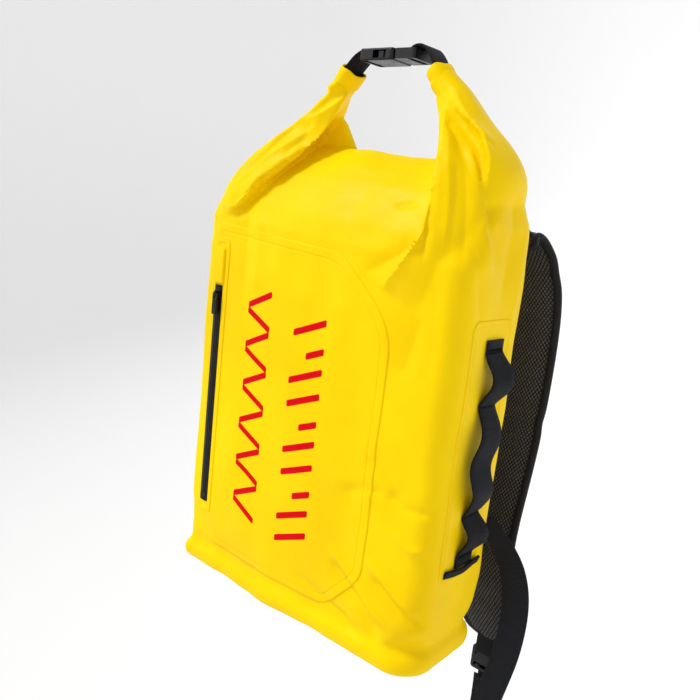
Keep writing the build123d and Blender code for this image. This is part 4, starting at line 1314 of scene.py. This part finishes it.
def cloth_material(name, dark, light, pitch, rough=0.6):
    """A plain weave at the given pitch in units of 100 mm."""
    material = plain_material(name, light, rough, 0.22)
    n = Nodes(material)
    parts = n.add("ShaderNodeSeparateXYZ", Vector=n.place(True)).outputs
    rows = n.math("SINE", n.math("MULTIPLY", parts[1], 2 * math.pi / pitch))
    columns = n.math("SINE", n.math("MULTIPLY", parts[0], 2 * math.pi / pitch))
    weave = n.math("MULTIPLY", rows, columns)
    tone = n.noise(n.place(), 90.0, 3.0)
    share = n.math("ADD", n.spread(weave, -1, 1, 0, 0.6), n.math("MULTIPLY", tone, 0.4))
    n.finish(Base_Color=n.colour(share, dark, light), Normal=n.bump(weave, 0.45, 0.0003))
    return material


def moulded_material(name, dark, light, rough, metallic=0.0, scale=260.0, gloss=0.5):
    """Moulded or cast surface: fine grain, and roughness that varies with handling."""
    material = plain_material(name, light, rough, gloss)
    material.node_tree.nodes["Principled BSDF"].inputs["Metallic"].default_value = metallic
    n = Nodes(material)
    place = n.place()
    grain = n.noise(place, scale * 6, 2.0)
    tone = n.noise(place, scale / 4, 3.0)
    n.finish(Base_Color=n.colour(tone, dark, light), Normal=n.bump(grain, 0.12, 0.0002),
             Roughness=n.spread(tone, 0.3, 0.7, rough * 0.8, rough * 1.25))
    return material


MATERIALS = {}


def make_materials():
    MATERIALS["tarpaulin"] = tarpaulin_material()
    MATERIALS["webbing"] = webbing_material()
    MATERIALS["spacer_mesh"] = spacer_mesh_material()
    MATERIALS["pad_cloth"] = cloth_material("pad_cloth", (0.003, 0.003, 0.004), (0.018, 0.018, 0.021), 0.010)
    MATERIALS["binding"] = cloth_material("binding", (0.003, 0.003, 0.004), (0.014, 0.014, 0.017), 0.009, 0.5)
    MATERIALS["zip_tape"] = moulded_material("zip_tape", (0.003, 0.003, 0.003), (0.008, 0.008, 0.008), 0.42, gloss=0.2)
    # painted shade for the hollow inside the arm ends, near black
    MATERIALS["dark_lining"] = moulded_material("dark_lining", (0.004, 0.004, 0.005), (0.010, 0.010, 0.011), 0.5)
    MATERIALS["red_print"] = moulded_material("red_print", (0.60, 0.0, 0.004), (0.70, 0.0, 0.006), 0.5, gloss=0.06)
    MATERIALS["thread"] = cloth_material("thread", (0.003, 0.003, 0.004), (0.016, 0.016, 0.020), 0.006, 0.5)
    MATERIALS["buckle_plastic"] = moulded_material("buckle_plastic", (0.003, 0.003, 0.004), (0.007, 0.007, 0.009), 0.30, gloss=0.3)
    MATERIALS["zip_metal"] = moulded_material("zip_metal", (0.020, 0.020, 0.022), (0.045, 0.045, 0.050), 0.26, 0.9)
    MATERIALS["stiffener"] = moulded_material("stiffener", (0.010, 0.010, 0.011), (0.022, 0.022, 0.024), 0.5)


CARRIED = {"zip_stops": "zip_metal", "zip_slider": "zip_metal", "zip_pull": "zip_metal", "mouth_stiffener": "stiffener",
           "ladder_lock_right": "buckle_plastic", "ladder_lock_left": "buckle_plastic", "buckle_socket": "buckle_plastic",
           "buckle_plug": "buckle_plastic", "buckle_prong_front": "buckle_plastic", "buckle_prong_back": "buckle_plastic"}


def dress_cad_nodes():
    for node, name in CARRIED.items():
        data = bpy.data.objects[node].data
        data.materials.clear()
        data.materials.append(MATERIALS[name])


def main():
    make_camera()
    make_stage()
    make_materials()
    dress_cad_nodes()
    cover = make_skin()
    cover.data.materials.append(MATERIALS["tarpaulin"])
    ride(cover, "bag", "tarpaulin", "front_panel", "back_panel", "side_gusset_left", "side_gusset_right",
         "bottom_panel", "roll_top")
    skin = Skin(cover)
    make_pocket(skin)
    make_zip(skin)
    make_marks(skin)
    make_side_patches(skin)
    make_ladders(skin)
    make_pads()
    make_adjusters()
    make_lock_loops()
    make_back(skin)
    make_tethers()
    make_collars()


main()
